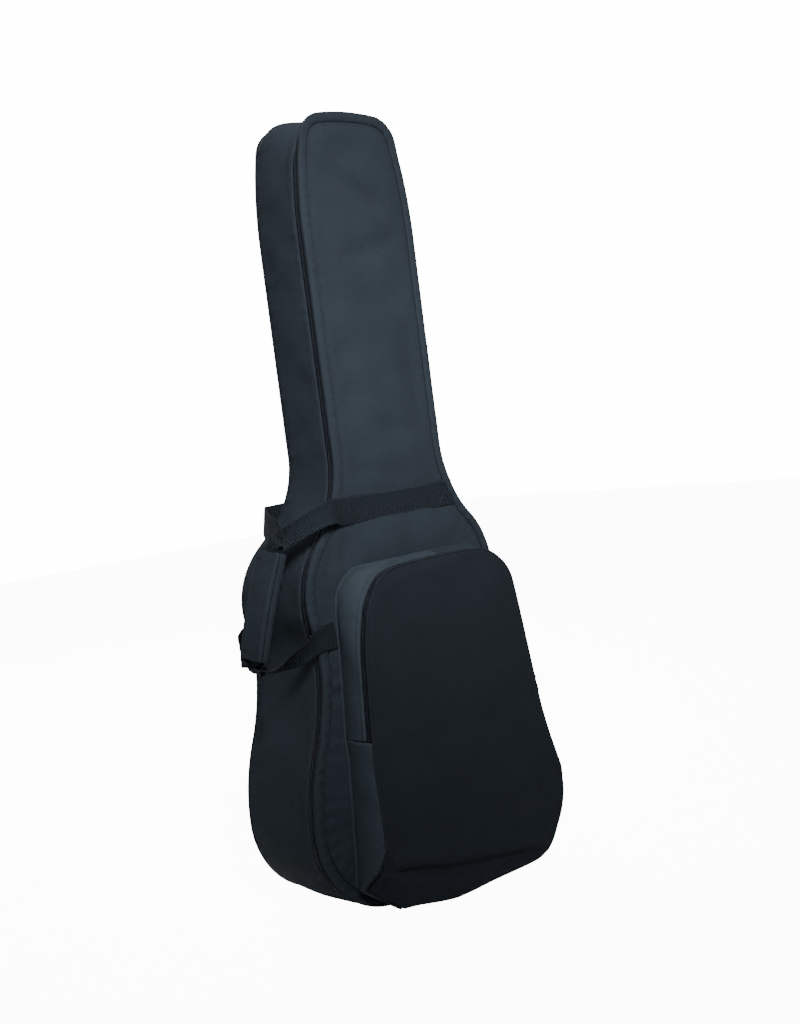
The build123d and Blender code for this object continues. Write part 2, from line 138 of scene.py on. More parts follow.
floor_mesh = bpy.data.meshes.new("floor")
FLOOR_HALF = 6.0
floor_mesh.from_pydata(
    [(-FLOOR_HALF, -FLOOR_HALF, 0), (FLOOR_HALF, -FLOOR_HALF, 0),
     (FLOOR_HALF, FLOOR_HALF, 0), (-FLOOR_HALF, FLOOR_HALF, 0)], [], [(0, 1, 2, 3)])
floor = bpy.data.objects.new("floor", floor_mesh)
bpy.context.scene.collection.objects.link(floor)
floor_paint = bpy.data.materials.new("floor_paint")
floor_paint.use_nodes = True
floor_shader = floor_paint.node_tree.nodes["Principled BSDF"]
floor_shader.inputs["Base Color"].default_value = (0.88, 0.88, 0.88, 1)
floor_shader.inputs["Roughness"].default_value = 0.9
FLOOR_GLOW = 12.0
floor_path = floor_paint.node_tree.nodes.new("ShaderNodeLightPath")
glow = floor_paint.node_tree.nodes.new("ShaderNodeMath")
glow.operation = "MULTIPLY"
glow.inputs[1].default_value = FLOOR_GLOW
floor_paint.node_tree.links.new(floor_path.outputs["Is Camera Ray"], glow.inputs[0])
floor_paint.node_tree.links.new(glow.outputs[0], floor_shader.inputs["Emission Strength"])
floor_shader.inputs["Emission Color"].default_value = (1, 1, 1, 1)
floor_mesh.materials.append(floor_paint)
floor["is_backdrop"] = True
print("floor", 2 * FLOOR_HALF, "m wide")

# %% [markdown]
# Three small helpers turn arrays into meshes.  A grid of points becomes quads, with a map of metres
# on the cloth, so that a weave or a row of stitches has the same size everywhere.  A short shape such
# as a stitch or a zipper tooth is repeated along a path.  Python never loops over points: numpy
# works out whole arrays, and the mesh takes them at once.

# %% Helpers: arrays to meshes
FLOOR_GAP = 0.0003


def above_floor(points):
    """Points as x, y, z in one list, none of them lower than just above the floor."""
    listed = points.reshape(-1, 3)
    return np.column_stack([listed[:, :2], np.maximum(listed[:, 2], FLOOR_GAP)]).tolist()


def grid_mesh(name, points, map_points, closed_u=False, closed_v=False, flip=False, caps=False):
    """One quad for each cell of points[u, v].  map_points has one more row where a way is closed."""
    rows, columns = points.shape[:2]
    index = np.arange(rows * columns).reshape(rows, columns)
    u = np.arange(rows if closed_u else rows - 1)[:, None]
    v = np.arange(columns if closed_v else columns - 1)[None, :]
    corners = [(u, v), (u + 1, v), (u + 1, v + 1), (u, v + 1)]
    if flip:
        corners.reverse()
    quads = np.stack([index[a % rows, b % columns] + 0 * (a + b) for a, b in corners], -1).reshape(-1, 4)
    spots = np.stack([map_points[a + 0 * b, b + 0 * a] for a, b in corners], 2).reshape(-1, 2)
    faces = quads.tolist()
    if caps:
        ends = [index[0].tolist(), index[-1].tolist()[::-1]]
        ends = [end[::-1] for end in ends] if flip else ends
        faces += ends
        spots = np.concatenate([spots, np.zeros((2 * columns, 2))])
    mesh = bpy.data.meshes.new(name)
    mesh.from_pydata(above_floor(points), [], faces)
    layer = mesh.uv_layers.new(name="Cloth")
    layer.data.foreach_set("uv", spots.astype(np.float32).ravel())
    mesh.shade_smooth()
    return mesh


def repeat_mesh(name, corners, faces, places, frames):
    """A small shape (corners, faces) at every place.  Each frame's rows are the shape's x, y, z there."""
    points = places[:, None, :] + np.einsum("kc,mcd->mkd", corners, frames)
    steps = np.arange(len(places))[:, None, None] * len(corners)
    mesh = bpy.data.meshes.new(name)
    mesh.from_pydata(above_floor(points), [], (np.array(faces)[None] + steps).reshape(
        -1, len(faces[0])).tolist())
    mesh.shade_smooth()
    return mesh


def at_depth(flat, y):
    """Flat points (x, z) at depth y, as x, y, z."""
    return np.stack([flat[..., 0], y, flat[..., 1]], -1)


def add_piece(name, mesh, material, body, replaces=()):
    """An object for a mesh, with its finish, riding on a body of the frame (or on none)."""
    piece = bpy.data.objects.new(name, mesh)
    bpy.context.scene.collection.objects.link(piece)
    mesh.materials.append(material)
    if body:
        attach(piece, body)
    if replaces:
        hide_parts(*replaces)
    return piece


def weld(mesh, distance=0.00002):
    """Joins points that lie on each other, as where a panel's two halves meet on its middle line."""
    work = bmesh.new()
    work.from_mesh(mesh)
    bmesh.ops.remove_doubles(work, verts=work.verts, dist=distance)
    work.to_mesh(mesh)
    work.free()


def thicken(piece, thickness, offset=-1.0):
    """A wall of cloth behind the surface."""
    wall = piece.modifiers.new("cloth thickness", "SOLIDIFY")
    wall.thickness = thickness
    wall.offset = offset
    return piece


def smooth(t):
    """Rises from 0 to 1 with no slope at either end."""
    t = np.clip(t, 0, 1)
    return t * t * (3 - 2 * t)


def ripple(points, length, seed, waves=9):
    """Soft unevenness: waves of random direction, phase and about this length, added up (about -1 to 1)."""
    dice = np.random.default_rng(seed)
    total = np.zeros(points.shape[:-1])
    for _ in range(waves):
        way = dice.normal(size=3)
        way /= np.linalg.norm(way) * length * dice.uniform(0.7, 1.5)
        total += np.sin(2 * np.pi * (points @ way + dice.uniform()))
    return total / math.sqrt(waves)


def seam_gathers(share, low, high, seed, waves=14):
    """Gathers along a closed seam: whole numbers of waves round it, low to high of them, added up."""
    dice = np.random.default_rng(seed)
    total = np.zeros_like(share)
    for _ in range(waves):
        total += np.sin(2 * np.pi * (dice.integers(low, high) * share + dice.uniform()))
    return total / math.sqrt(waves)


print("helpers ready")

# %% [markdown]
# The bag's outline is arcs and straights that run into each other: a flat base, the round lower bout,
# the waist, the upper bout, the straight neck and the crowned top.  Each is given by its two ends and
# the headings there, which is all that a tangent arc needs.  Moving a point in along its normal gives
# every smaller outline, because each arc keeps its centre.

# %% Outline of the bag
HEIGHT = 1.100
BASE_HALF = 0.085
BODY = (0.215, 0.130)
WAIST = (0.1695, 0.360)
UPPER = (0.1795, 0.432)
NECK = (0.1015, 0.632)
NECK_END_Z = 0.930
TOP_LOW_Z, TOP_LOW_LEAN, TOP_HIGH_LEAN = 1.062, 12.2, 83.0
RIM_STEP = 0.004


def s_meeting(start, end, share):
    """Where an S curve's two arcs meet on its chord, and the heading there in degrees."""
    x, z = (a + (b - a) * share for a, b in zip(start, end))
    return x, z, 2 * math.degrees(math.atan2(start[0] - end[0], end[1] - start[1]))


def half_outline():
    """The right half's junctions, from the base up: x, z and heading (0 is up, 90 is to the left)."""
    low_x = NECK[0] - (TOP_LOW_Z - NECK_END_Z) * math.tan(math.radians(TOP_LOW_LEAN / 2))
    crown = math.tan(math.radians((90 + TOP_HIGH_LEAN) / 2))
    corner = math.tan(math.radians((TOP_LOW_LEAN + TOP_HIGH_LEAN) / 2))
    high_z = (HEIGHT * crown - low_x - TOP_LOW_Z * corner) / (crown - corner)
    return [
        (0, 0, -90), (BASE_HALF, 0, -90), (*BODY, 0), s_meeting(BODY, WAIST, 0.485), (*WAIST, 0),
        s_meeting(WAIST, UPPER, 0.5), (*UPPER, 0), s_meeting(UPPER, NECK, 0.43), (*NECK, 0),
        (NECK[0], NECK_END_Z, 0), (low_x, TOP_LOW_Z, TOP_LOW_LEAN),
        ((HEIGHT - high_z) * crown, high_z, TOP_HIGH_LEAN), (0, HEIGHT, 90),
    ]


def trace(junctions, step):
    """Points and headings along tangent arcs: an arc's chord to any point on it turns half as fast."""
    x, z, heading = np.array(junctions, float).T
    ends, heading = np.stack([x, z], 1), np.radians(heading)
    parts = []
    for k in range(len(ends) - 1):
        chord, bend = np.linalg.norm(ends[k + 1] - ends[k]), (heading[k + 1] - heading[k]) / 2
        count = max(2, round(chord / step))
        t = np.arange(count) / count
        reach = chord * (np.sin(t * bend) / np.sin(bend) if abs(bend) > 1e-6 else t)
        way = heading[k] + t * bend
        spots = ends[k] + reach[:, None] * np.stack([-np.sin(way), np.cos(way)], 1)
        parts.append(np.column_stack([spots, heading[k] + 2 * t * bend]))
    return np.concatenate(parts)


def run_along(points, closed=True):
    """Distance travelled at each point of a path, with the whole length last if it is closed."""
    gaps = np.linalg.norm(np.diff(points, axis=0, append=points[:1]), axis=1)
    run = np.concatenate([[0], np.cumsum(gaps)])
    return run if closed else run[:-1]


right_half = half_outline()
rim = trace(right_half + [(-x, z, 180 - h) for x, z, h in right_half[-2::-1]], RIM_STEP)
RIM, RIM_OUT = rim[:, :2], np.stack([np.cos(rim[:, 2]), np.sin(rim[:, 2])], 1)
RIM_RUN = run_along(RIM)
RIM_SHARE = RIM_RUN[:-1] / RIM_RUN[-1]


def round_the_rim(inset, y):
    """Points inset from the outline at depth y.  Both are arrays of (round the rim, across)."""
    inset, y = np.broadcast_arrays(inset, y)
    x = RIM[:, :1] - inset * RIM_OUT[:, :1]
    z = RIM[:, 1:] - inset * RIM_OUT[:, 1:]
    return np.stack([x, y + 0 * x, z], -1)


def nearest_on(loop, x, z):
    """For every (x, z): its distance from the nearest point of a loop, and which point that is."""
    spots = np.stack([x.ravel(), z.ravel()], 1)
    gaps = [np.linalg.norm(part[:, None] - loop[None], axis=2) for part in np.array_split(spots, 40)]
    near = np.concatenate([gap.min(1) for gap in gaps]).reshape(x.shape)
    return near, np.concatenate([gap.argmin(1) for gap in gaps]).reshape(x.shape)


print("outline:", len(RIM), "points,", round(RIM_RUN[-1], 3), "m round")

# %% [markdown]
# Cloth is a colour, a weave and a sheen.  The weave, the slow change of tone that handling leaves and
# the fuzz that dulls the nap are the same kind of pattern on every cloth here, so they are one node
# group with its own thread size and strength.  It puts out a height for the bump and a tone for the
# colour.  The tone holds random tone from the yarn and the cloudiness, and painted shade that darkens
# the hollows between crossing threads.  The shader stays in each material, because gloss belongs to the
# finish.

# %% Node helpers and the weave group
def math_node(tree, operation, first, second=0.0, third=None):
    """One Math node.  Each input is a number or another node's output."""
    node = tree.nodes.new("ShaderNodeMath")
    node.operation = operation
    for socket, value in zip(node.inputs, (first, second, third)):
        if isinstance(value, (int, float)):
            socket.default_value = value
        elif value is not None:
            tree.links.new(value, socket)
    return node.outputs[0]


def new_group(name, inputs, outputs):
    """An empty node group with named inputs (name, kind, value) and float outputs."""
    tree = bpy.data.node_groups.new(name, "ShaderNodeTree")
    for label, kind, value in inputs:
        socket = tree.interface.new_socket(label, in_out="INPUT", socket_type=kind)
        if kind == "NodeSocketFloat":
            socket.default_value = value
    for label in outputs:
        tree.interface.new_socket(label, in_out="OUTPUT", socket_type="NodeSocketFloat")
    return tree, tree.nodes.new("NodeGroupInput"), tree.nodes.new("NodeGroupOutput")


def noise_node(tree, vector, scale, detail=3.0):
    node = tree.nodes.new("ShaderNodeTexNoise")
    node.inputs["Detail"].default_value = detail
    tree.links.new(vector, node.inputs["Vector"])
    if isinstance(scale, (int, float)):
        node.inputs["Scale"].default_value = scale
    else:
        tree.links.new(scale, node.inputs["Scale"])
    return node.outputs["Fac"]


def weave_group():
    """Over-and-under threads both ways, slubs and long streaks in the yarn, and a slow cloudiness."""
    tree, given, made = new_group(
        "weave",
        [("Map", "NodeSocketVector", None), ("Place", "NodeSocketVector", None),
         ("Thread", "NodeSocketFloat", 0.0009), ("Slub", "NodeSocketFloat", 0.4)],
        ["Height", "ToneAndShade"])
    split = tree.nodes.new("ShaderNodeSeparateXYZ")
    tree.links.new(given.outputs["Map"], split.inputs[0])
    turns = math_node(tree, "DIVIDE", 2 * math.pi, given.outputs["Thread"])
    over = math_node(tree, "SINE", math_node(tree, "MULTIPLY", split.outputs[0], turns))
    under = math_node(tree, "SINE", math_node(tree, "MULTIPLY", split.outputs[1], turns))
    basket = math_node(tree, "MULTIPLY", over, under)
    yarn = noise_node(tree, given.outputs["Map"], 620.0, 2.0)
    slub = math_node(tree, "MULTIPLY", math_node(tree, "SUBTRACT", yarn, 0.5), given.outputs["Slub"])
    height = math_node(tree, "ADD", math_node(tree, "MULTIPLY", basket, 0.5), math_node(
        tree, "MULTIPLY", slub, 2.5))
    drawn_out = tree.nodes.new("ShaderNodeVectorMath")
    drawn_out.operation = "MULTIPLY"
    drawn_out.inputs[1].default_value = (0.30, 1.0, 1.0)
    tree.links.new(given.outputs["Map"], drawn_out.inputs[0])
    streaks = noise_node(tree, drawn_out.outputs[0], 330.0, 2.0)
    streak = math_node(tree, "MULTIPLY", math_node(tree, "SUBTRACT", streaks, 0.5), 0.5)
    cloud = noise_node(tree, given.outputs["Place"], 14.0, 4.0)
    patch = math_node(tree, "MULTIPLY", math_node(tree, "SUBTRACT", cloud, 0.5), 0.5)
    # Painted shade: the basket term lightens the colour where threads cross over and darkens the hollows
    # between them.
    tone = math_node(tree, "ADD", math_node(tree, "MULTIPLY_ADD", slub, 0.8, streak), math_node(
        tree, "ADD", patch, math_node(tree, "MULTIPLY", basket, 0.12)))
    tree.links.new(height, made.inputs["Height"])
    tree.links.new(math_node(tree, "ADD", tone, 0.5), made.inputs["ToneAndShade"])
    return tree


WEAVE = weave_group()
print("weave group:", len(WEAVE.nodes), "nodes")

# %% [markdown]
# The bag has three nylons: a dark blue-grey one for the shell, a darker one for the pocket and a
# lighter grey one for the pocket's side.  Each is woven of thick yarn, nearly matt, with a faint sheen
# at grazing angles.  Webbing, piping, zipper tape, lining and foam come from the same recipe with
# other threads and colours.

# %% Materials: cloths
def mix_colours(tree, factor, dark, light):
    node = tree.nodes.new("ShaderNodeMix")
    node.data_type = "RGBA"
    tree.links.new(factor, node.inputs["Factor"])
    node.inputs["A"].default_value = (*dark, 1)
    node.inputs["B"].default_value = (*light, 1)
    return node.outputs["Result"]


def cloth_material(name, colour, thread=0.0011, slub=0.5, contrast=0.35, bump=0.25, roughness=0.85,
                   sheen=0.0):
    """Woven cloth: the weave's tone moves the colour about its middle value, its height the surface."""
    material = bpy.data.materials.new(name)
    material.use_nodes = True
    tree = material.node_tree
    shader = tree.nodes["Principled BSDF"]
    weave = tree.nodes.new("ShaderNodeGroup")
    weave.node_tree = WEAVE
    weave.inputs["Thread"].default_value = thread
    weave.inputs["Slub"].default_value = slub
    cloth_map = tree.nodes.new("ShaderNodeUVMap")
    cloth_map.uv_map = "Cloth"
    place = tree.nodes.new("ShaderNodeTexCoord")
    tree.links.new(cloth_map.outputs[0], weave.inputs["Map"])
    tree.links.new(place.outputs["Object"], weave.inputs["Place"])
    dark = [c * (1 - contrast) for c in colour]
    light = [c * (1 + contrast) for c in colour]
    tree.links.new(mix_colours(tree, weave.outputs["ToneAndShade"], dark, light), shader.inputs["Base Color"])
    bumps = tree.nodes.new("ShaderNodeBump")
    bumps.inputs["Strength"].default_value = bump
    bumps.inputs["Distance"].default_value = 0.0004
    tree.links.new(weave.outputs["Height"], bumps.inputs["Height"])
    tree.links.new(bumps.outputs[0], shader.inputs["Normal"])
    dull = math_node(tree, "MULTIPLY_ADD", weave.outputs["ToneAndShade"], 0.12, roughness - 0.06)
    tree.links.new(dull, shader.inputs["Roughness"])
    shader.inputs["Sheen Weight"].default_value = sheen
    shader.inputs["Sheen Roughness"].default_value = 0.5
    shader.inputs["Specular IOR Level"].default_value = 0.12
    return material


SHELL = cloth_material("shell_nylon", (0.0135, 0.0185, 0.0245))
POCKET_CLOTH = cloth_material("pocket_nylon", (0.0080, 0.0108, 0.0146), contrast=0.4)
ACCENT = cloth_material("accent_nylon", (0.0215, 0.0290, 0.0370), thread=0.0013)
PIPING_CLOTH = cloth_material("piping", (0.0085, 0.0115, 0.0155), thread=0.0012, contrast=0.25)
LINING = cloth_material("lining", (0.020, 0.026, 0.034), thread=0.0007, slub=0.2, roughness=0.6,
                        sheen=0.015)
FOAM = cloth_material("foam", (0.10, 0.11, 0.12), thread=0.0016, slub=1.0, bump=0.5, roughness=0.95)
ZIP_TAPE = cloth_material("zip_tape", (0.0075, 0.0095, 0.0125), thread=0.0008, contrast=0.3)
BINDING = cloth_material("binding", (0.010, 0.013, 0.018), thread=0.0012, contrast=0.3)
print("cloths:", len(bpy.data.materials) - 1)

# %% [markdown]
# Webbing is woven so tightly that it shows as ribs: slanting ones that meet in the middle of the tape,
# between two plain edges.  The slant follows the tape, so the pattern reads the piece's own map, whose
# first way runs along the tape and whose second goes across it.

# %% Materials: webbing, thread, metal and plastic
def webbing_material(name, colour, rib=0.0040, slant=0.35):
    """As cloth, with ribs of this width that slant back from the tape's middle line."""
    material = cloth_material(name, colour, thread=0.0010, contrast=0.3)
    tree = material.node_tree
    bumps = next(node for node in tree.nodes if node.type == "BUMP")
    weave = next(node for node in tree.nodes if node.type == "GROUP")
    cloth_map = next(node for node in tree.nodes if node.type == "UVMAP")
    split = tree.nodes.new("ShaderNodeSeparateXYZ")
    tree.links.new(cloth_map.outputs[0], split.inputs[0])
    across = math_node(tree, "ABSOLUTE", split.outputs[1])
    along = math_node(tree, "MULTIPLY_ADD", across, slant, split.outputs[0])
    ribs = math_node(tree, "SINE", math_node(tree, "MULTIPLY", along, 2 * math.pi / rib))
    height = math_node(tree, "MULTIPLY_ADD", ribs, 2.2, weave.outputs["Height"])
    tree.links.new(height, bumps.inputs["Height"])
    bumps.inputs["Strength"].default_value = 0.7
    colours = next(node for node in tree.nodes if node.type == "MIX")
    # Painted shade: the ribs lighten the colour on their tops and darken it in the grooves, besides bumping
    # the surface.
    tone = math_node(tree, "MULTIPLY_ADD", ribs, 0.32, weave.outputs["ToneAndShade"])
    tree.links.new(tone, colours.inputs["Factor"])
    return material


def plain_material(name, colour, roughness, metallic=0.0, grain=900.0, bump=0.1, spread=0.15,
                   gloss=0.5):
    """Moulded plastic, cast metal or twisted thread: one colour that a fine grain breaks up."""
    material = bpy.data.materials.new(name)
    material.use_nodes = True
    tree = material.node_tree
    shader = tree.nodes["Principled BSDF"]
    place = tree.nodes.new("ShaderNodeTexCoord")
    fine = noise_node(tree, place.outputs["Object"], grain, 2.0)
    worn = noise_node(tree, place.outputs["Object"], 45.0, 3.0)
    dark = [c * (1 - spread) for c in colour]
    light = [c * (1 + spread) for c in colour]
    tree.links.new(mix_colours(tree, worn, dark, light), shader.inputs["Base Color"])
    rough = math_node(tree, "MULTIPLY_ADD", worn, 0.2, roughness - 0.1)
    tree.links.new(rough, shader.inputs["Roughness"])
    shader.inputs["Metallic"].default_value = metallic
    shader.inputs["Specular IOR Level"].default_value = gloss
    bumps = tree.nodes.new("ShaderNodeBump")
    bumps.inputs["Strength"].default_value = bump
    bumps.inputs["Distance"].default_value = 0.0002
    tree.links.new(fine, bumps.inputs["Height"])
    tree.links.new(bumps.outputs[0], shader.inputs["Normal"])
    return material


WEBBING = webbing_material("webbing", (0.0078, 0.0112, 0.0152))
THREAD = plain_material("thread", (0.0125, 0.0175, 0.0235), 0.7, grain=1500.0, gloss=0.12)
ZIP_METAL = plain_material("zip_metal", (0.045, 0.048, 0.055), 0.38, metallic=0.9)
ZIP_COIL = plain_material("zip_coil", (0.0095, 0.0135, 0.0190), 0.5, gloss=0.16)
BUCKLE = plain_material("buckle_plastic", (0.010, 0.011, 0.013), 0.45, grain=1200.0)
HOOKS = plain_material("hook_and_loop", (0.012, 0.014, 0.017), 0.95, grain=1600.0, bump=0.9, spread=0.4)
print("materials:", len(bpy.data.materials))

# %% [markdown]
# The bag's two faces are not flat: the foam swells between the seams and the cloth dips where it is
# sewn.  One function for the front and one for the rear give the cloth's place at any x and z, so
# that bands, straps and pockets can be laid on the same surface afterwards.

# %% Front and rear surfaces
FRONT_Y, REAR_BODY_Y, REAR_NECK_Y = -0.0775, 0.0775, 0.0255
TAPER_LOW_Z, TAPER_HIGH_Z = 0.420, 0.640
ZIP_Y = FRONT_Y + 0.011
BAND_FACE = 0.014
BAND_Z = 0.553
WEB_WIDE, WEB_THICK = 0.038, 0.002
CLOTH = 0.0012


def rear_line(z):
    """The rear surface from the side: upright, then an S of two equal arcs in to the thinner neck."""
    drop, rise = REAR_BODY_Y - REAR_NECK_Y, TAPER_HIGH_Z - TAPER_LOW_Z
    radius = (drop ** 2 + rise ** 2) / (4 * drop)
    low = np.clip(z - TAPER_LOW_Z, 0, rise / 2)
    high = np.clip(TAPER_HIGH_Z - z, 0, rise / 2)
    from_body = REAR_BODY_Y - (radius - np.sqrt(radius ** 2 - low ** 2))
    from_neck = REAR_NECK_Y + (radius - np.sqrt(radius ** 2 - high ** 2))
    return np.where(z < (TAPER_LOW_Z + TAPER_HIGH_Z) / 2, from_body, from_neck)


def swell(depth, lip, lip_reach, dome, dome_reach):
    """How far padded cloth stands out at this distance from its seam: a quick lip, then a slow dome."""
    return lip * (1 - np.exp(-depth / lip_reach)) + dome * smooth(depth / dome_reach)


PANEL_GATHERS = seam_gathers(RIM_SHARE, 30, 150, 61)
SOFT_FOLDS = (
    ((-0.052, 1.018), (0.040, 0.966), 0.014, -0.0026),
    ((-0.030, 0.900), (0.062, 0.925), 0.012, -0.0014),
    ((-0.060, 0.700), (0.045, 0.664), 0.013, 0.0016),
    ((-0.096, 0.610), (0.030, 0.590), 0.012, -0.0014),
    ((-0.112, 0.528), (-0.128, 0.462), 0.010, 0.0028),
    ((-0.150, 0.440), (-0.176, 0.372), 0.010, -0.0018),
)


def soft_folds(x, z):
    """Long soft folds between two points each, as ridges (above 0) or hollows that fade at their ends."""
    total = 0 * x
    for start, end, wide, rise in SOFT_FOLDS:
        way = np.subtract(end, start)
        long = np.linalg.norm(way)
        along = ((x - start[0]) * way[0] + (z - start[1]) * way[1]) / long ** 2
        aside = ((x - start[0]) * way[1] - (z - start[1]) * way[0]) / long
        fade = smooth((along + 0.2) / 0.4), smooth((1.2 - along) / 0.4)
        total = total + rise * np.exp(-(aside / wide) ** 2) * fade[0] * fade[1]
    return total


def front_y(x, z):
    """The front cloth: swollen between the seams, dented by handling, pulled in under the waist band.
    Gathers run in from the seam and fade, strongest round the lower bout."""
    near, nearest = nearest_on(RIM, x, z)
    depth = np.maximum(near - BAND_FACE, 0)
    spots = np.stack([x, 0 * x, z], -1)
    stretch = 1 - 0.75 * np.exp(-((z - BAND_Z) / 0.028) ** 2)
    lift = swell(depth, 0.0020, 0.007, 0.0052, 0.075) * stretch
    dents = 0.0014 * ripple(spots, 0.16, 3) + 0.0010 * ripple(spots, 0.07, 5)
    gathers = 0.0012 * PANEL_GATHERS[nearest] * smooth(depth / 0.006) * np.exp(-depth / 0.020)
    gathers = gathers * (0.15 + 0.85 * smooth((0.66 - z) / 0.25))
    dents = dents + soft_folds(x, z)
    return FRONT_Y + 0.0008 - lift - (dents * smooth(depth / 0.03) + gathers) * stretch


def rear_y(x, z):
    """The rear cloth, swollen a little less, because the foam there is pressed flat by the straps."""
    depth = np.maximum(nearest_on(RIM, x, z)[0] - 0.004, 0)
    spots = np.stack([x, 0 * x + 1, z], -1)
    dents = 0.0006 * ripple(spots, 0.12, 8) * smooth(depth / 0.03)
    return rear_line(z) - 0.0012 + swell(depth, 0.0014, 0.005, 0.0012, 0.07) + dents


def ring_panel(name, edge, middle, share, surface, shift=None, flip=False):
    """A panel from an edge loop to a middle line: rings that shrink towards the line, laid on a surface
    and then moved by the shift.  Each share is how far a ring is from the edge to the line."""
    flat = edge[:, None] + (middle - edge)[:, None] * share[None, :, None]
    points = at_depth(flat, surface(flat[..., 0], flat[..., 1]))
    if shift:
        points = points + shift(flat[..., 0], flat[..., 1])
    mesh = grid_mesh(name, points, np.concatenate([flat, flat[:1]]), closed_u=True, flip=flip)
    weld(mesh)
    return mesh


SPINE = (0.19, 1.03)
RING_SHARES = np.concatenate([np.linspace(0, 0.16, 9)[:-1], np.linspace(0.16, 1, 26)])


def face_panel(name, inset, surface, flip):
    """A panel over the whole bag, from this far inside the rim."""
    edge = RIM - inset * RIM_OUT
    middle = np.stack([0 * edge[:, 0], np.clip(edge[:, 1], *SPINE)], 1)
    return ring_panel(name, edge, middle, RING_SHARES, surface, flip=flip)


front_mesh = face_panel("front_panel", BAND_FACE, front_y, flip=False)
front_panel = add_piece("front_panel", front_mesh, SHELL, "lid", ["front_panel_cover"])
thicken(front_panel, CLOTH)
rear_mesh = face_panel("rear_panel", 0.004, rear_y, flip=True)
rear_panel = add_piece("rear_panel", rear_mesh, SHELL, "shell", ["rear_panel_cover"])
thicken(rear_panel, CLOTH)
print("panels:", len(front_mesh.polygons), "and", len(rear_mesh.polygons), "faces")

# %% [markdown]
# The gusset is the long strip that makes the bag deep.  It runs once round the outline between the
# zipper and the rear seam.  Across its width it bulges over its foam, tucks in at both seams, and
# gathers a little there, because a straight strip is sewn round curves.  Over the top of the neck the
# zipper lies in a valley between the gusset's foam and the lid's.

# %% Gusset
WALL_FRONT_Y = ZIP_Y + 0.0045
PIPING = 0.0038
OVER_THE_TOP = smooth((RIM[:, 1:] - 1.030) / 0.055)
ZIP_VALLEY = 0.0125 * OVER_THE_TOP
VALLEY_REACH = 0.034


def gusset_points(columns, depth_in=0.0, gather=1.0):
    """The gusset's surface: round the rim, then from the zipper to the rear seam."""
    z = RIM[:, 1:]
    share = np.linspace(0, 1, columns)[None, :]
    share = share - 0.035 * np.sin(2 * np.pi * share)
    rear = rear_line(z) - PIPING / 2
    y = WALL_FRONT_Y + (rear - WALL_FRONT_Y) * share
    from_front, from_rear = y - WALL_FRONT_Y, rear - y
    tuck = 0.0016 * np.exp(-from_front / 0.0016) + 0.0026 * np.exp(-from_rear / 0.0026)
    deep = rear - WALL_FRONT_Y
    bulge = 0.020 * deep * 4 * share * (1 - share) + 0.0050 * OVER_THE_TOP * smooth(share / 0.9) * smooth(
        (1 - share) / 0.25)
    spots = round_the_rim(0 * y, y)
    folds = 0.0011 * ripple(spots, 0.11, 21) + 0.0005 * ripple(spots, 0.045, 22)
    front_gather = seam_gathers(RIM_SHARE, 60, 210, 31)[:, None] * np.exp(-from_front / 0.010)
    rear_gather = seam_gathers(RIM_SHARE, 60, 180, 32)[:, None] * np.exp(-from_rear / 0.014)
    settle = smooth(from_front / 0.004) * smooth(from_rear / 0.004)
    lift = bulge + (folds * smooth(from_front / 0.02) * smooth(from_rear / 0.02)
                    + 0.0007 * (front_gather + rear_gather) * settle) * gather
    stand = 1 - 0.9 * smooth((0.03 - z) / 0.03)
    inset = depth_in + tuck - lift * stand + ZIP_VALLEY * np.exp(-from_front / VALLEY_REACH)
    return round_the_rim(inset, y)


def rim_map(points):
    """A map in metres for a strip round the rim: distance round it, then distance across it."""
    across = np.concatenate([np.zeros((len(points), 1)), np.cumsum(
        np.linalg.norm(np.diff(points, axis=1), axis=2), 1)], 1)
    across = np.concatenate([across, across[:1]])
    return np.stack([np.broadcast_to(RIM_RUN[:, None], across.shape), across], -1)


gusset = gusset_points(44)
gusset_mesh = grid_mesh("gusset", gusset, rim_map(gusset), closed_u=True, flip=True)
gusset_piece = add_piece("gusset", gusset_mesh, SHELL, "shell", ["gusset_cover"])
thicken(gusset_piece, CLOTH)
print("gusset:", len(gusset_mesh.polygons), "faces,", round(RIM_RUN[-1], 3), "m long")

# %% [markdown]
# The lid's border is a narrow strip folded over the front corner.  It starts under the zipper, rounds
# the corner and ends in the seam with the front panel.  Its inner edge is gathered: the seam wanders
# and small puckers cross the strip, more so round the lower bout where it bends most.

# %% Border of the lid
BORDER = np.array([(0.0014, 0.0066), (0.0002, 0.0056), (-0.0008, 0.0040), (-0.0008, 0.0020),
                   (0.0004, 0.0003), (0.0026, -0.0010), (0.0055, -0.0017), (0.0085, -0.0018),
                   (0.0112, -0.0014), (0.0130, -0.0005), (0.0142, 0.0009)])


def fine_profile(profile, count):
    """A smooth curve through a profile's points: each way is a spline of the distance along it."""
    run = run_along(profile, False)
    return hermite(run, profile, np.linspace(0, run[-1], count))


def hermite(run, values, at):
    """Values at new distances: cubics between the given ones, with slopes from their neighbours."""
    slopes = np.gradient(values, run, axis=0)
    k = np.clip(np.searchsorted(run, at, side="right") - 1, 0, len(run) - 2)
    gap = (run[k + 1] - run[k])[:, None]
    t = ((at - run[k]) / gap[:, 0])[:, None]
    return ((2 * t ** 3 - 3 * t ** 2 + 1) * values[k] + (t ** 3 - 2 * t ** 2 + t) * gap * slopes[k]
            + (3 * t ** 2 - 2 * t ** 3) * values[k + 1] + (t ** 3 - t ** 2) * gap * slopes[k + 1])


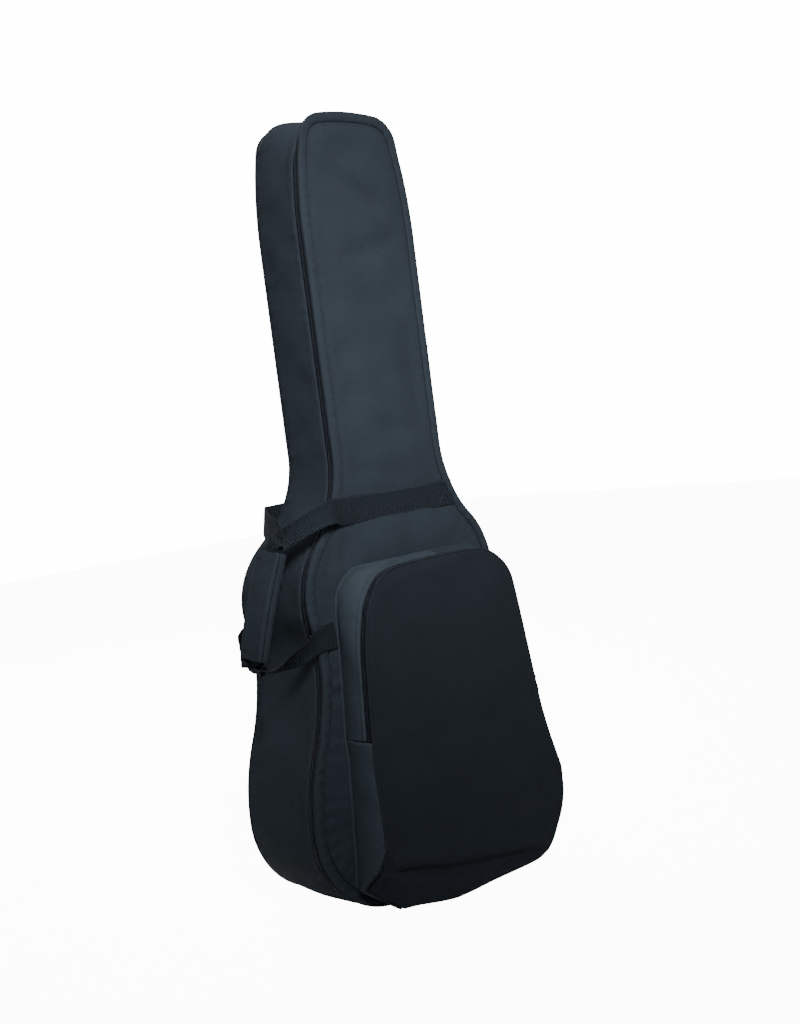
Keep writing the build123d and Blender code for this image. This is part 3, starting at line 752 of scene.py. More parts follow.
border_line = fine_profile(BORDER, 22)
curl = seam_gathers(RIM_SHARE, 60, 220, 41)[:, None]
slow = seam_gathers(RIM_SHARE, 8, 40, 42)[:, None]
low_down = 0.30 + 0.90 * smooth((0.66 - RIM[:, 1:]) / 0.35)
over = np.sin(np.pi * np.linspace(0, 1, len(border_line)))[None, :] ** 0.7
inner = smooth(np.linspace(-0.4, 1, len(border_line)))[None, :]
border_inset = border_line[None, :, 0] + 0.0010 * slow * low_down * inner * over
border_inset = border_inset + ZIP_VALLEY * np.exp(-np.linspace(0, 0.021, len(border_line)) / 0.0045)
border_inset = border_inset - 0.0060 * OVER_THE_TOP * over ** 2
border_y = FRONT_Y + border_line[None, :, 1] - (0.0018 * curl * inner + 0.0008 * slow) * over * low_down
stand = smooth(RIM[:, 1:] / 0.02)
border_inset = np.maximum(border_inset, (1 - stand) * 0.0004)
border = round_the_rim(border_inset, border_y)
border_mesh = grid_mesh("lid_border", border, rim_map(border), closed_u=True)
lid_border = add_piece("lid_border", border_mesh, SHELL, "lid", ["front_band"])
thicken(lid_border, CLOTH)
print("border:", len(border_mesh.polygons), "faces")

# %% [markdown]
# A zipper is two tapes with a coil along each edge.  The tapes lie a little below the cloth, in the
# groove between the two tucked edges.  The coil's turns are the same small block, set every couple
# of millimetres, and the two halves are half a step apart so that they mesh.  Short blocks repeated
# along the path keep the count low and still catch the light one by one.

# %% Beads, teeth and stitches
def tube_mesh(name, points, map_points, closed=False):
    """A closed tube of grid points (along, round), turned so that its faces point outwards."""
    around = np.concatenate([points, points[:, :1]], 1)
    if closed:
        around = np.concatenate([around, around[:1]], 0)
    low, high = around[:-1], around[1:]
    along, round_it = high[:, :-1] - low[:, :-1], low[:, 1:] - low[:, :-1]
    volume = np.einsum("ijk,ijk->", low[:, :-1], np.cross(along, round_it))
    return grid_mesh(name, points, map_points, closed_u=closed, closed_v=True, flip=volume < 0,
                     caps=not closed)


def bead_mesh(name, path, first, second, radius, closed=True, sides=10):
    """A round cord of cloth along a path.  first and second are the directions of its section."""
    angle = np.linspace(0, 2 * np.pi, sides, endpoint=False)[None, :, None]
    points = path[:, None] + radius * (np.cos(angle) * first[:, None] + np.sin(angle) * second[:, None])
    run = run_along(path, closed)[:, None]
    rounds = np.linspace(0, 2 * np.pi, sides + 1)[None, :] * radius
    spots = np.stack(np.broadcast_arrays(run, rounds), -1)
    return tube_mesh(name, points, spots, closed)


BLOCK_FACES = [(0, 1, 3, 2), (4, 6, 7, 5), (0, 4, 5, 1), (2, 3, 7, 6), (0, 2, 6, 4), (1, 5, 7, 3)]


def block(length, width, low, high, taper=0.7):
    """Eight corners of a small block, narrower on top: x along the seam, y across it, z out."""
    return np.array([(x * length / 2 * (taper if z == high else 1), y * width / 2, z)
                     for x in (-1, 1) for y in (-1, 1) for z in (low, high)])


STITCH_BELOW, STITCH_TOP = -0.0003, 0.0002


def stitch_shape(length=0.0031, width=0.0009, rise=0.00045):
    """A stitch: four sections, the outer two sunk in the cloth.  Only the near side rises above the
    cloth between them, and the far side lies nearly flat on it."""
    sections = ((-0.5, -0.6), (-0.3, 0.7), (0.3, 0.7), (0.5, -0.6))
    return np.array([(x * length, y * width, middle + half) for x, z in sections
                     for y, middle in ((-0.5, z * rise), (0.5, (z * rise + STITCH_TOP) * rise))
                     for half in (STITCH_BELOW, STITCH_TOP)])


STITCH_FACES = [(0, 1, 3, 2)] + [
    tuple(4 * k + c for c in side) for k in range(3)
    for side in ((0, 4, 5, 1), (2, 3, 7, 6), (1, 5, 7, 3), (0, 2, 6, 4))] + [(12, 14, 15, 13)]
STITCH_PITCH = 0.0043


def along_path(path, out, pitch, shift=0.0, closed=False):
    """Places every pitch along a path, and frames there: rows are along, across and out."""
    if closed:
        path, out = np.concatenate([path, path[:1]]), np.concatenate([out, out[:1]])
    run = run_along(path, False)
    count = max(1, round(run[-1] / pitch))
    at = (np.arange(count) + 0.5 + shift) * run[-1] / count
    at = at[at < run[-1]]
    place = np.stack([np.interp(at, run, path[:, k]) for k in range(3)], 1)
    outward = np.stack([np.interp(at, run, out[:, k]) for k in range(3)], 1)
    ahead = np.stack([np.interp(at + 0.001, run, path[:, k]) for k in range(3)], 1)
    behind = np.stack([np.interp(at - 0.001, run, path[:, k]) for k in range(3)], 1)
    way = ahead - behind
    way /= np.linalg.norm(way, axis=1)[:, None]
    outward -= (outward * way).sum(1)[:, None] * way
    outward /= np.linalg.norm(outward, axis=1)[:, None]
    return place, np.stack([way, np.cross(outward, way), outward], 1)


def stitch_row(name, path, out, body, closed=False):
    """One seam's stitches as one piece."""
    out = np.broadcast_to(np.asarray(out, float), path.shape)
    place, turns = along_path(path, out, STITCH_PITCH, closed=closed)
    mesh = repeat_mesh(name, stitch_shape(), STITCH_FACES, place, turns)
    return add_piece(name, mesh, THREAD, body)


def flat_out(directions):
    """Directions in the plane of the outline, as x, y, z."""
    return at_depth(directions, 0 * directions[:, 0])


RIM_OUT_3D = flat_out(RIM_OUT)
ALONG_Y = np.broadcast_to(np.array([0.0, 1.0, 0.0]), RIM_OUT_3D.shape)
print("stitch:", len(STITCH_FACES), "faces")

# %% Main zipper
TOOTH_PITCH = 0.0023
TAPE_THICK = 0.0006
SLIDER_ROOM = 0.001
TOOTH = block(0.0013, 0.0026, -0.0009, 0.0008)
HINGE_LOW_Z, HINGE_HIGH_Z = 0.075, 0.200
TAPE_INSET = 0.0016

on_hinge = (RIM[:, 0] > 0) & (RIM[:, 1] > HINGE_LOW_Z) & (RIM[:, 1] < HINGE_HIGH_Z)
zip_start = np.flatnonzero(on_hinge)[-1] + 1
zip_order = np.roll(np.arange(len(RIM)), -zip_start)[:len(RIM) - on_hinge.sum()]


def zipper_strip(inset, y):
    """The zipper's line at this inset and depth, without the stretch where cloth joins lid and shell."""
    return round_the_rim(inset, y)[zip_order]


def tape_mesh(name, near_y, far_y):
    """A tape with a raised edge by the coil, from near_y at the coil to far_y under the cloth."""
    share = np.linspace(0, 1, 6)[None, :]
    inset = TAPE_INSET + ZIP_VALLEY - 0.0007 * np.exp(-share / 0.2)
    strip = zipper_strip(inset, near_y + (far_y - near_y) * share)
    run = run_along(strip[:, 0], False)[:, None]
    spots = np.stack(np.broadcast_arrays(run, share * abs(far_y - near_y)), -1)
    return grid_mesh(name, strip, spots, flip=far_y > near_y)


def clear_of(place, sliders):
    """Which places have no slider on them.  All the sliders are parked on the right side."""
    near = np.zeros(len(place), bool)
    for node in sliders:
        low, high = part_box(node)
        level = place[:, 2]
        near |= (place[:, 0] > 0) & (level > low.z - SLIDER_ROOM) & (level < high.z + SLIDER_ROOM)
    return ~near


def teeth_mesh(name, path, out, shift, *sliders):
    """The coil's turns on one side, with none inside the sliders."""
    place, turns = along_path(path, out, TOOTH_PITCH, shift)
    chosen = clear_of(place, sliders)
    return repeat_mesh(name, TOOTH, BLOCK_FACES, place[chosen], turns[chosen])


tape_front = add_piece("zip_tape_front", tape_mesh("zip_tape_front", ZIP_Y - 0.0009, FRONT_Y + 0.0056),
                       ZIP_TAPE, "lid", ["main_zipper_front"])
tape_rear = add_piece("zip_tape_rear", tape_mesh("zip_tape_rear", ZIP_Y + 0.0009, WALL_FRONT_Y + 0.0012),
                      ZIP_TAPE, "shell", ["main_zipper_rear"])
thicken(tape_front, TAPE_THICK)
thicken(tape_rear, TAPE_THICK)
zip_out = RIM_OUT_3D[zip_order]
for side, body, y, shift in (("front", "lid", ZIP_Y - 0.0008, 0.0), ("rear", "shell", ZIP_Y + 0.0008, 0.5)):
    coil_path = zipper_strip(0.0008 + ZIP_VALLEY, np.full((len(RIM), 1), y))[:, 0]
    coil = teeth_mesh("zip_coil_" + side, coil_path, zip_out, shift, "main_upper_slider",
                      "main_lower_slider")
    add_piece("zip_coil_" + side, coil, ZIP_COIL, body)
    print("coil", side, len(coil.polygons) // len(BLOCK_FACES), "turns")

# %% [markdown]
# Between the zipper's two ends, at the right of the lower bout, cloth alone joins the lid to the
# shell.  It has to follow both, so it rides on neither body.

# %% Cloth hinge
HINGE_LAP = 0.006
hinge_order = np.flatnonzero((RIM[:, 0] > 0) & (RIM[:, 1] > HINGE_LOW_Z - HINGE_LAP)
                             & (RIM[:, 1] < HINGE_HIGH_Z + HINGE_LAP))
hinge_share = np.linspace(0, 1, 9)[None, :]
hinge_y = FRONT_Y + 0.0050 + (WALL_FRONT_Y + 0.0015 - FRONT_Y - 0.0050) * hinge_share
hinge_inset = 0.0013 - 0.0006 * np.sin(np.pi * hinge_share)
hinge_points = round_the_rim(hinge_inset, hinge_y)[hinge_order]
hinge_run = run_along(hinge_points[:, 0], False)[:, None]
hinge_spots = np.stack(np.broadcast_arrays(hinge_run, hinge_y - FRONT_Y), -1)
hinge_mesh = grid_mesh("hinge_cloth", hinge_points, hinge_spots, flip=True)
hinge_cloth = add_piece("hinge_cloth", hinge_mesh, SHELL, None, ["hinge_strip"])
thicken(hinge_cloth, 0.0009)
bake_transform(hinge_cloth)
print("hinge cloth:", round(hinge_run[-1, 0], 3), "m long")

# %% [markdown]
# The rear seam holds a piping: a thin cord wrapped in cloth that stiffens the edge.  Seams that hold
# no cord are topstitched.  Every stitch lies on the real surface, because its path is taken from the
# grid of the panel it is sewn to.

# %% Rear piping and the long seams
piping_y = rear_line(RIM[:, 1]) - PIPING / 2
piping_path = round_the_rim(PIPING / 2, piping_y[:, None])[:, 0]
piping_mesh = bead_mesh("rear_piping_cord", piping_path, RIM_OUT_3D, ALONG_Y, 0.00195)
add_piece("rear_piping_cord", piping_mesh, PIPING_CLOTH, "shell", ["rear_piping"])

stitch_row("gusset_zip_seam", gusset[:, 5], RIM_OUT_3D, "shell", closed=True)
stitch_row("border_zip_seam", border[:, 5], RIM_OUT_3D, "lid", closed=True)
seam_edge = RIM - (BAND_FACE + 0.0028) * RIM_OUT
seam_path = at_depth(seam_edge, front_y(seam_edge[:, 0], seam_edge[:, 1]))
stitch_row("front_panel_seam", seam_path, (0, -1, 0), "lid", closed=True)
rear_edge = RIM - 0.0085 * RIM_OUT
rear_path = at_depth(rear_edge, rear_y(rear_edge[:, 0], rear_edge[:, 1]))
stitch_row("rear_panel_seam", rear_path, (0, 1, 0), "shell", closed=True)
print("piping", round(run_along(piping_path)[-1], 3), "m")

# %% [markdown]
# Inside, the foam is covered by a thin smooth lining, and the raw edges beside the zipper are bound
# with tape.  They show when the lid swings open.  Each layer is the same surface again, moved in.

# %% Foam, lining and edge binding
FOAM_DEEP, LID_FOAM_DEEP = 0.0070, 0.0062
LINING_IN, LINING_THICK = 0.0103, 0.0008


def edge_binding(name, inset, half_wide, y, body):
    """A flattened loop of tape over the wall's raw edge."""
    angle = np.linspace(0, 2 * np.pi, 14, endpoint=False)[None, :]
    points = round_the_rim(inset + ZIP_VALLEY + half_wide * np.cos(angle), y + 0.0011 * np.sin(angle))
    rounds = np.linspace(0, 2 * half_wide, 15)[None, :]
    spots = np.stack(np.broadcast_arrays(RIM_RUN[:, None], rounds), -1)
    mesh = tube_mesh(name, points, spots, closed=True)
    return add_piece(name, mesh, BINDING, body)


def wall_layer(name, inset, material, node):
    """A strip of the gusset's foam or lining, parallel to its cover."""
    share = np.linspace(0, 1, 16)[None, :]
    rear = rear_line(RIM[:, 1:]) - inset
    y = WALL_FRONT_Y + 0.0006 + (rear - WALL_FRONT_Y) * share
    points = round_the_rim(inset + ZIP_VALLEY * np.exp(-(y - WALL_FRONT_Y) / VALLEY_REACH), y)
    mesh = grid_mesh(name, points, rim_map(points), closed_u=True, flip=True)
    return add_piece(name, mesh, material, "shell", [node])


def flat_layer(name, inset, surface, material, body, node, flip):
    """The foam or lining of the lid or of the rear panel."""
    mesh = face_panel(name, inset, surface, flip)
    return add_piece(name, mesh, material, body, [node])


def rear_at(depth):
    return lambda x, z: rear_line(z) - depth


def lid_at(y):
    return lambda x, z: y + 0 * x


thicken(wall_layer("gusset_padding", 0.0022, FOAM, "gusset_foam"), FOAM_DEEP)
thicken(wall_layer("gusset_inside", LINING_IN, LINING, "gusset_lining"), LINING_THICK)
thicken(flat_layer("rear_padding", 0.0105, rear_at(0.0022), FOAM, "shell", "rear_panel_foam", True),
        FOAM_DEEP)
thicken(flat_layer("rear_inside", 0.0100, rear_at(LINING_IN), LINING, "shell",
                   "rear_panel_lining", True), LINING_THICK)
thicken(flat_layer("lid_padding", 0.0075, lid_at(-0.0752), FOAM, "lid", "front_panel_foam", False),
        LID_FOAM_DEEP)
thicken(flat_layer("lid_inside", 0.0060, lid_at(-0.0683), LINING, "lid", "front_panel_lining",
                   False), LINING_THICK)
edge_binding("shell_edge_binding", 0.0066, 0.0046, WALL_FRONT_Y + 0.0004, "shell")
edge_binding("lid_edge_binding", 0.0046, 0.0029, ZIP_Y - 0.0024, "lid")
print("inside: 3 foams, 3 linings, 2 bindings")

# %% [markdown]
# The pocket stands on the front.  Its outline is again tangent arcs and straights: two leaning sides,
# round upper corners, and the lower bout's own curve at the foot.  Its front is upright, then rounds
# in to the foot.  The cloth swells away from the piped edge.  Low down the pocket's own weight pulls it
# forward and down, so it creases and hangs in a roll that just clears the floor.

# %% Pocket outline and front surface
POCKET_Y = FRONT_Y - 0.058
POCKET_TOP_Z, POCKET_OPEN_Z, POCKET_BEND_Z, POCKET_FOOT_Z = 0.475, 0.245, 0.107, 0.016
POCKET_FOOT_Y = FRONT_Y - 0.005
LEFT_LOW, LEFT_HIGH, LEFT_RADIUS = np.array([-0.158, 0.090]), np.array([-0.134, 0.425]), 0.052
RIGHT_LOW, RIGHT_HIGH, RIGHT_RADIUS = np.array([0.200, 0.120]), np.array([0.158, 0.425]), 0.066
ACCENT_END_X = 0.030


def on_lower_bout(low, high, side):
    """Where a side line, going down, leaves the lower bout's arc: a line and a circle."""
    centre, radius = np.array([side * BASE_HALF, BODY[1]]), BODY[1] - POCKET_FOOT_Z
    way = (low - high) / np.linalg.norm(low - high)
    half = (high - centre) @ way
    spot = high + way * (-half + math.sqrt(half ** 2 - ((high - centre) @ (high - centre) - radius ** 2)))
    return spot, math.degrees(math.atan2(*(spot - centre)[::-1]))


def heading_of(start, end):
    return math.degrees(math.atan2(start[0] - end[0], end[1] - start[1])) % 360


def pocket_outline():
    """The loop from the foot's middle, up the right side, over the top and down the left side."""
    right_foot, right_arc = on_lower_bout(RIGHT_LOW, RIGHT_HIGH, 1)
    left_foot, left_arc = on_lower_bout(LEFT_LOW, LEFT_HIGH, -1)
    up, down = heading_of(RIGHT_LOW, RIGHT_HIGH), heading_of(LEFT_HIGH, LEFT_LOW)
    pieces = [[(0, POCKET_FOOT_Z, -90), (BASE_HALF, POCKET_FOOT_Z, -90), (*right_foot, right_arc)]]
    rows = [(right_foot, up)]
    for low, high, radius, before, after in ((RIGHT_LOW, RIGHT_HIGH, RIGHT_RADIUS, up, 90),
                                             (LEFT_LOW, LEFT_HIGH, LEFT_RADIUS, 90, down)):
        corner = low + (high - low) * (POCKET_TOP_Z - low[1]) / (high[1] - low[1])
        reach = radius * math.tan(math.radians((after - before) / 2))
        for heading, sign in ((before, -1), (after, 1)):
            turn = math.radians(heading)
            rows.append((corner + sign * reach * np.array([-math.sin(turn), math.cos(turn)]), heading))
    rows.append((left_foot, down))
    pieces.append([(*spot, heading) for spot, heading in rows])
    pieces.append([(*left_foot, left_arc % 360), (-BASE_HALF, POCKET_FOOT_Z, 270), (0, POCKET_FOOT_Z, 270)])
    return np.concatenate([trace(piece, 0.0035) for piece in pieces])


pocket_rim = pocket_outline()
POCKET, POCKET_OUT = pocket_rim[:, :2], np.stack([np.cos(pocket_rim[:, 2]), np.sin(pocket_rim[:, 2])], 1)
POCKET_OUT_3D = flat_out(POCKET_OUT)
POCKET_RUN = run_along(POCKET)


def pocket_line(z):
    """The pocket's front from the side: upright, then one arc in to the foot."""
    deep, tall = POCKET_FOOT_Y - POCKET_Y, POCKET_BEND_Z - POCKET_FOOT_Z
    radius = (deep ** 2 + tall ** 2) / (2 * deep)
    below = np.clip(POCKET_BEND_Z - z, 0, tall)
    return POCKET_Y + radius - np.sqrt(radius ** 2 - below ** 2)


SAG_AT = np.array([0, 0.20, 0.40, 0.55, 0.70, 0.80, 0.88, 0.95, 1.0])
SAG = np.array([(-0.0080, -0.0030), (-0.0125, -0.0090), (-0.0185, -0.0180), (-0.0245, -0.0255),
                (-0.0335, -0.0320), (-0.0385, -0.0305), (-0.0360, -0.0245), (-0.0220, -0.0160), (0.0, 0.0)])
TUCK_AT = np.array([0, 0.34, 0.67, 1.0])
TUCK = np.array([(-0.0110, 0.0), (0.0030, 0.0), (0.0190, 0.0), (0.0, 0.0)])
TUCK_X, TUCK_WIDE = -0.164, 0.034
SAG_TOP_Z = 0.236
CORNER_LEFT, CORNER_RIGHT = (-0.126, 0.452, 0.052), (0.150, 0.470, 0.060)


def pocket_shift(x, z):
    """How far the filled pocket's front has moved from its cut shape: forward and down to a roll above
    the foot, sideways at the right, and in at the two upper corners.  At the left edge the side strip
    holds it back instead."""
    share = np.clip((POCKET_BEND_Z - z) / (POCKET_BEND_Z - POCKET_FOOT_Z), 0, 1)
    rolled = hermite(SAG_AT, SAG, share.ravel()).reshape(*share.shape, 2)
    tucked = hermite(TUCK_AT, TUCK, share.ravel()).reshape(*share.shape, 2)
    lowered = 0.35 + 0.65 * smooth((x + 0.150) / 0.12) - 0.40 * smooth((x - 0.125) / 0.05)
    rolled = rolled * np.stack([0 * x + 1, lowered], -1)
    free = smooth((x - TUCK_X) / TUCK_WIDE)[..., None]
    moved = (tucked + (rolled - tucked) * free) * smooth((SAG_TOP_Z - z) / 0.12)[..., None]
    aside = 0.0075 * smooth((x - 0.11) / 0.07) * np.exp(-((z - 0.095) / 0.055) ** 2)
    left, right = (np.exp(-((x - at[0]) ** 2 + (z - at[1]) ** 2) / at[2] ** 2)
                   for at in (CORNER_LEFT, CORNER_RIGHT))
    return np.stack([aside + 0.0100 * left - 0.0010 * right, moved[..., 0],
                     moved[..., 1] - 0.0120 * left - 0.0080 * right], -1)


def pocket_y(x, z):
    """The pocket's cloth: swollen from its piping, softly dented, with a crease above the foot's roll."""
    depth = nearest_on(POCKET, x, z)[0]
    spots = np.stack([x, 0 * x + 2, z], -1)
    dents = 0.0015 * ripple(spots, 0.20, 13) + 0.0006 * ripple(spots, 0.08, 14)
    above = z - (0.0605 - 0.110 * x)
    fold = 0.0085 * np.exp(-(above / 0.0050) ** 2) - 0.0030 * np.exp(-((above - 0.013) / 0.009) ** 2)
    fold = fold - 0.0012 * np.exp(-((above + 0.012) / 0.008) ** 2)
    fold = fold * smooth((x + 0.168) / 0.05) * smooth((0.165 - x) / 0.07)
    lift = swell(depth, 0.0022, 0.004, 0.0050, 0.12) * (1 - 0.75 * smooth((0.20 - z) / 0.12))
    return pocket_line(z) + 0.0012 - lift - (dents - fold) * smooth(depth / 0.02)


# Both sides reach the pocket's middle line at the same even steps, so that they weld there.
POCKET_SPINE_X, POCKET_SPINE, SPINE_STEP = 0.012, (0.12, 0.40), 0.004
pocket_edge = POCKET - 0.0030 * POCKET_OUT
pocket_level = np.round(np.clip(pocket_edge[:, 1], *POCKET_SPINE) / SPINE_STEP) * SPINE_STEP
pocket_middle = np.stack([np.full(len(pocket_edge), POCKET_SPINE_X), pocket_level], 1)
pocket_shares = np.concatenate([np.linspace(0, 0.12, 16)[:-1], np.linspace(0.12, 1, 44)])
pocket_mesh = ring_panel("pocket_front", pocket_edge, pocket_middle, pocket_shares, pocket_y, pocket_shift)
pocket_front = add_piece("pocket_front", pocket_mesh, POCKET_CLOTH, None,
                         ["pocket_front_upper", "pocket_front_lower"])
thicken(pocket_front, CLOTH)
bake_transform(pocket_front)
print("pocket:", len(POCKET), "points,", round(POCKET_RUN[-1], 3), "m round")

# %% [markdown]
# The pocket's side is a strip round its outline.  On the left and over the top it is the light grey
# cloth, on the right the dark one.  Above the opening it stops at the zipper; below it runs on to
# the piping.  A slim roll of the same cloth covers the seam where the strip is sewn to the front.

# %% Pocket sides, piping and zipper
POCKET_ZIP_Y = POCKET_Y + 0.0095
WALL_END_Y = POCKET_ZIP_Y + 0.0042
count = len(POCKET)
opened = np.flatnonzero(POCKET[:, 1] >= POCKET_OPEN_Z)
high = np.arange(opened[0], opened[-1] + 1)
top_turn = high[np.flatnonzero(POCKET[high, 0] <= ACCENT_END_X)[0]]
root_y = front_y(POCKET[:, 0], POCKET[:, 1]) + 0.0008
EDGE_SHIFT = pocket_shift(POCKET[:, 0], POCKET[:, 1])


def pocket_wall(name, chosen, front_edge, material, nodes, seed):
    """A stretch of the side strip, from its root on the bag to front_edge, swollen and gathered."""
    share = np.linspace(0, 1, 20)[None, :]
    start, end = root_y[chosen][:, None], front_edge[chosen][:, None]
    y = start + (end - start) * share
    spots = np.stack([POCKET[chosen, :1] + 0 * y, y, POCKET[chosen, 1:] + 0 * y], -1)
    deep = np.abs(end - start)
    tuck = 0.0014 * np.exp(-(1 - share) * deep / 0.0015) * (front_edge[chosen][:, None] > POCKET_Y + 0.008)
    lift = 0.0035 * 4 * share * (1 - share) * smooth(deep / 0.04)
    lift = lift + 0.0012 * ripple(spots, 0.07, seed) * smooth(share / 0.2) * smooth((1 - share) / 0.2)
    out = (lift - tuck)[..., None] * POCKET_OUT_3D[chosen][:, None]
    points = spots + out + share[..., None] ** 1.4 * EDGE_SHIFT[chosen][:, None]
    run = np.broadcast_to(POCKET_RUN[chosen][:, None], y.shape)
    mesh = grid_mesh(name, points, np.stack([run, y], -1), flip=False)
    piece = add_piece(name, mesh, material, "lid", nodes)
    thicken(piece, 0.0013)
    return points


to_zip = np.full(count, WALL_END_Y)
to_piping = pocket_line(POCKET[:, 1]) + 0.0018
accent_side = pocket_wall("pocket_side_accent", np.arange(top_turn, high[-1] + 1), to_zip, ACCENT,
                          ["pocket_gusset_accent"], 51)
dark_side = pocket_wall("pocket_side_right", np.arange(high[0], top_turn + 1), to_zip, SHELL,
                        ["pocket_gusset_right"], 52)
pocket_wall("pocket_low_left", np.arange(high[-1], count), to_piping, ACCENT,
            ["pocket_gusset_low_left"], 53)
pocket_wall("pocket_low_right", np.arange(0, high[0] + 1), to_piping, SHELL,
            ["pocket_gusset_low_right"], 54)

edge_path = at_depth(POCKET, pocket_line(POCKET[:, 1]) + 0.0018)
edge_path = edge_path - 0.0016 * POCKET_OUT_3D + EDGE_SHIFT
pocket_y_way = np.broadcast_to(np.array([0.0, 1.0, 0.0]), edge_path.shape)
pocket_bead = add_piece("pocket_piping_cord", bead_mesh("pocket_piping_cord", edge_path, POCKET_OUT_3D,
                        pocket_y_way, 0.0021), PIPING_CLOTH, None,
                        ["pocket_piping_upper", "pocket_piping_lower"])
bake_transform(pocket_bead)

root_path = at_depth(POCKET, root_y - 0.0012) + 0.0006 * POCKET_OUT_3D
for name, chosen, material, slot in (
        ("pocket_root_accent", np.arange(top_turn, count), ACCENT, "accent_nylon"),
        ("pocket_root_dark", np.arange(0, top_turn + 1), SHELL, "shell_nylon")):
    roll = bead_mesh(name, root_path[chosen], POCKET_OUT_3D[chosen], pocket_y_way[chosen], 0.0019,
                     closed=False)
    add_piece(name, roll, material, "lid")


def pocket_strip(y_near, y_far, name, body, node, flip):
    """One tape of the pocket's zipper."""
    share = np.linspace(0, 1, 4)[None, :]
    y = y_near + (y_far - y_near) * share
    inset = 0.0016 - 0.0007 * np.exp(-share / 0.2)
    spots = np.stack([POCKET[high, :1] + 0 * y, y + 0 * POCKET[high, :1], POCKET[high, 1:] + 0 * y], -1)
    points = spots - inset[..., None] * POCKET_OUT_3D[high][:, None] + EDGE_SHIFT[high][:, None]
    run = np.broadcast_to(POCKET_RUN[high][:, None], points.shape[:2])
    mesh = grid_mesh(name, points, np.stack([run, points[..., 1]], -1), flip=flip)
    return thicken(add_piece(name, mesh, ZIP_TAPE, body, [node]), TAPE_THICK)


pocket_strip(POCKET_ZIP_Y + 0.0009, WALL_END_Y + 0.001, "pocket_tape_rear", "lid", "pocket_zipper_rear",
             True)
pocket_strip(POCKET_ZIP_Y - 0.0009, POCKET_Y + 0.0040, "pocket_tape_front", "pocket_flap",
             "pocket_zipper_front", False)
for side, body, y, shift in (("rear", "lid", 0.0008, 0.0), ("front", "pocket_flap", -0.0008, 0.5)):
    line = at_depth(POCKET[high], np.full(len(high), POCKET_ZIP_Y + y)) + EDGE_SHIFT[high]
    out = POCKET_OUT_3D[high]
    mesh = teeth_mesh("pocket_coil_" + side, line - 0.0008 * out, out, shift, "pocket_slider")
    add_piece("pocket_coil_" + side, mesh, ZIP_COIL, body)
stitch_row("pocket_side_seam_accent", accent_side[:, -3], POCKET_OUT_3D[top_turn:high[-1] + 1], "lid")
stitch_row("pocket_side_seam_right", dark_side[:, -3], POCKET_OUT_3D[high[0]:top_turn + 1], "lid")
print("pocket side:", round(POCKET_RUN[high[-1]] - POCKET_RUN[high[0]], 3), "m of zipper")

# %% [markdown]
# Webbing is a flat tape that bends easily one way and hardly at all the other.  It is a section, wide
# and thin with rounded edges, carried along smooth curves through a few stations.  Each station has
# the tape's middle and the direction across it, so the tape can twist from the bag into the grip.

# %% Webbing and the grip's own axes
GRIP_TOP, GRIP_FOOT = np.array([-0.197, -0.042, 0.513]), np.array([-0.241, -0.028, 0.375])
GRIP_MIDDLE, GRIP_LONG = (GRIP_TOP + GRIP_FOOT) / 2, np.linalg.norm(GRIP_TOP - GRIP_FOOT)
GRIP_UP = (GRIP_TOP - GRIP_FOOT) / GRIP_LONG
GRIP_BACK = np.array([0.03, 1.0, 0.09])
GRIP_BACK = GRIP_BACK - GRIP_BACK @ GRIP_UP * GRIP_UP
GRIP_BACK /= np.linalg.norm(GRIP_BACK)
GRIP_OUT = np.cross(GRIP_UP, GRIP_BACK)
HALF_GRIP = GRIP_LONG / 2
GRIP_BOW = 0.0030
WEB_IN_GRIP = 0.033
BAND_SEAM_X, BAND_END_X = -0.082, 0.113


def bowed(height):
    """The grip's middle bows outwards a little."""
    return GRIP_BOW * (1 - np.clip(np.abs(height) / HALF_GRIP, 0, 1) ** 2)


def in_grip(layer, height):
    """A point in the grip: layer is out from its middle plane, height is up along it."""
    return GRIP_MIDDLE + (layer + bowed(height)) * GRIP_OUT + height * GRIP_UP


def ribbon_mesh(name, stations, thickness=WEB_THICK, step=0.0025, sides=26):
    """A flat tape through stations of (middle, direction across, width, cupping).  A cupped tape curls
    its two edges to one side, and so looks narrower."""
    middles = np.array([station[0] for station in stations], float)
    across = np.array([station[1] for station in stations], float)
    across /= np.linalg.norm(across, axis=1)[:, None]
    widths = np.array([station[2:] for station in stations], float)
    run = run_along(middles, False)
    at = np.linspace(0, run[-1], max(3, round(run[-1] / step)))
    line, side, forms = (hermite(run, values, at) for values in (middles, across, widths))
    width, cup = forms[:, :1], forms[:, 1:]
    way = np.gradient(line, axis=0)
    way /= np.linalg.norm(way, axis=1)[:, None]
    side -= (side * way).sum(1)[:, None] * way
    side /= np.linalg.norm(side, axis=1)[:, None]
    out = np.cross(way, side)
    angle = np.linspace(0, 2 * np.pi, sides, endpoint=False)
    wide = np.sign(np.cos(angle)) * np.abs(np.cos(angle)) ** 0.4
    thick = np.sign(np.sin(angle)) * np.abs(np.sin(angle)) ** 0.7
    level = thickness / 2 * thick - 0.30 * cup * width / 2 * wide ** 2
    points = line[:, None] + (width / 2 * wide)[..., None] * side[:, None] + level[..., None] * out[:, None]
    wide = np.append(wide, wide[0])
    spots = np.stack(np.broadcast_arrays(at[:, None], width / 2 * wide), -1)
    return tube_mesh(name, points, spots)


def on_front(x, z, lift=0.0012):
    """A point lying on the front cloth."""
    return np.array([x, front_y(np.array([x]), np.array([z]))[0] - lift, z])


def on_rear(x, z, lift=0.0012):
    return np.array([x, rear_y(np.array([x]), np.array([z]))[0] + lift, z])


UP, DOWN = (0, 0, 1), (0, 0, -1)
FRONT_LAYER, REAR_LAYER = 0.0016, -0.0024
GRIP_STATIONS = (HALF_GRIP + 0.003, HALF_GRIP - 0.02, 0, 0.02 - HALF_GRIP, -0.003 - HALF_GRIP)


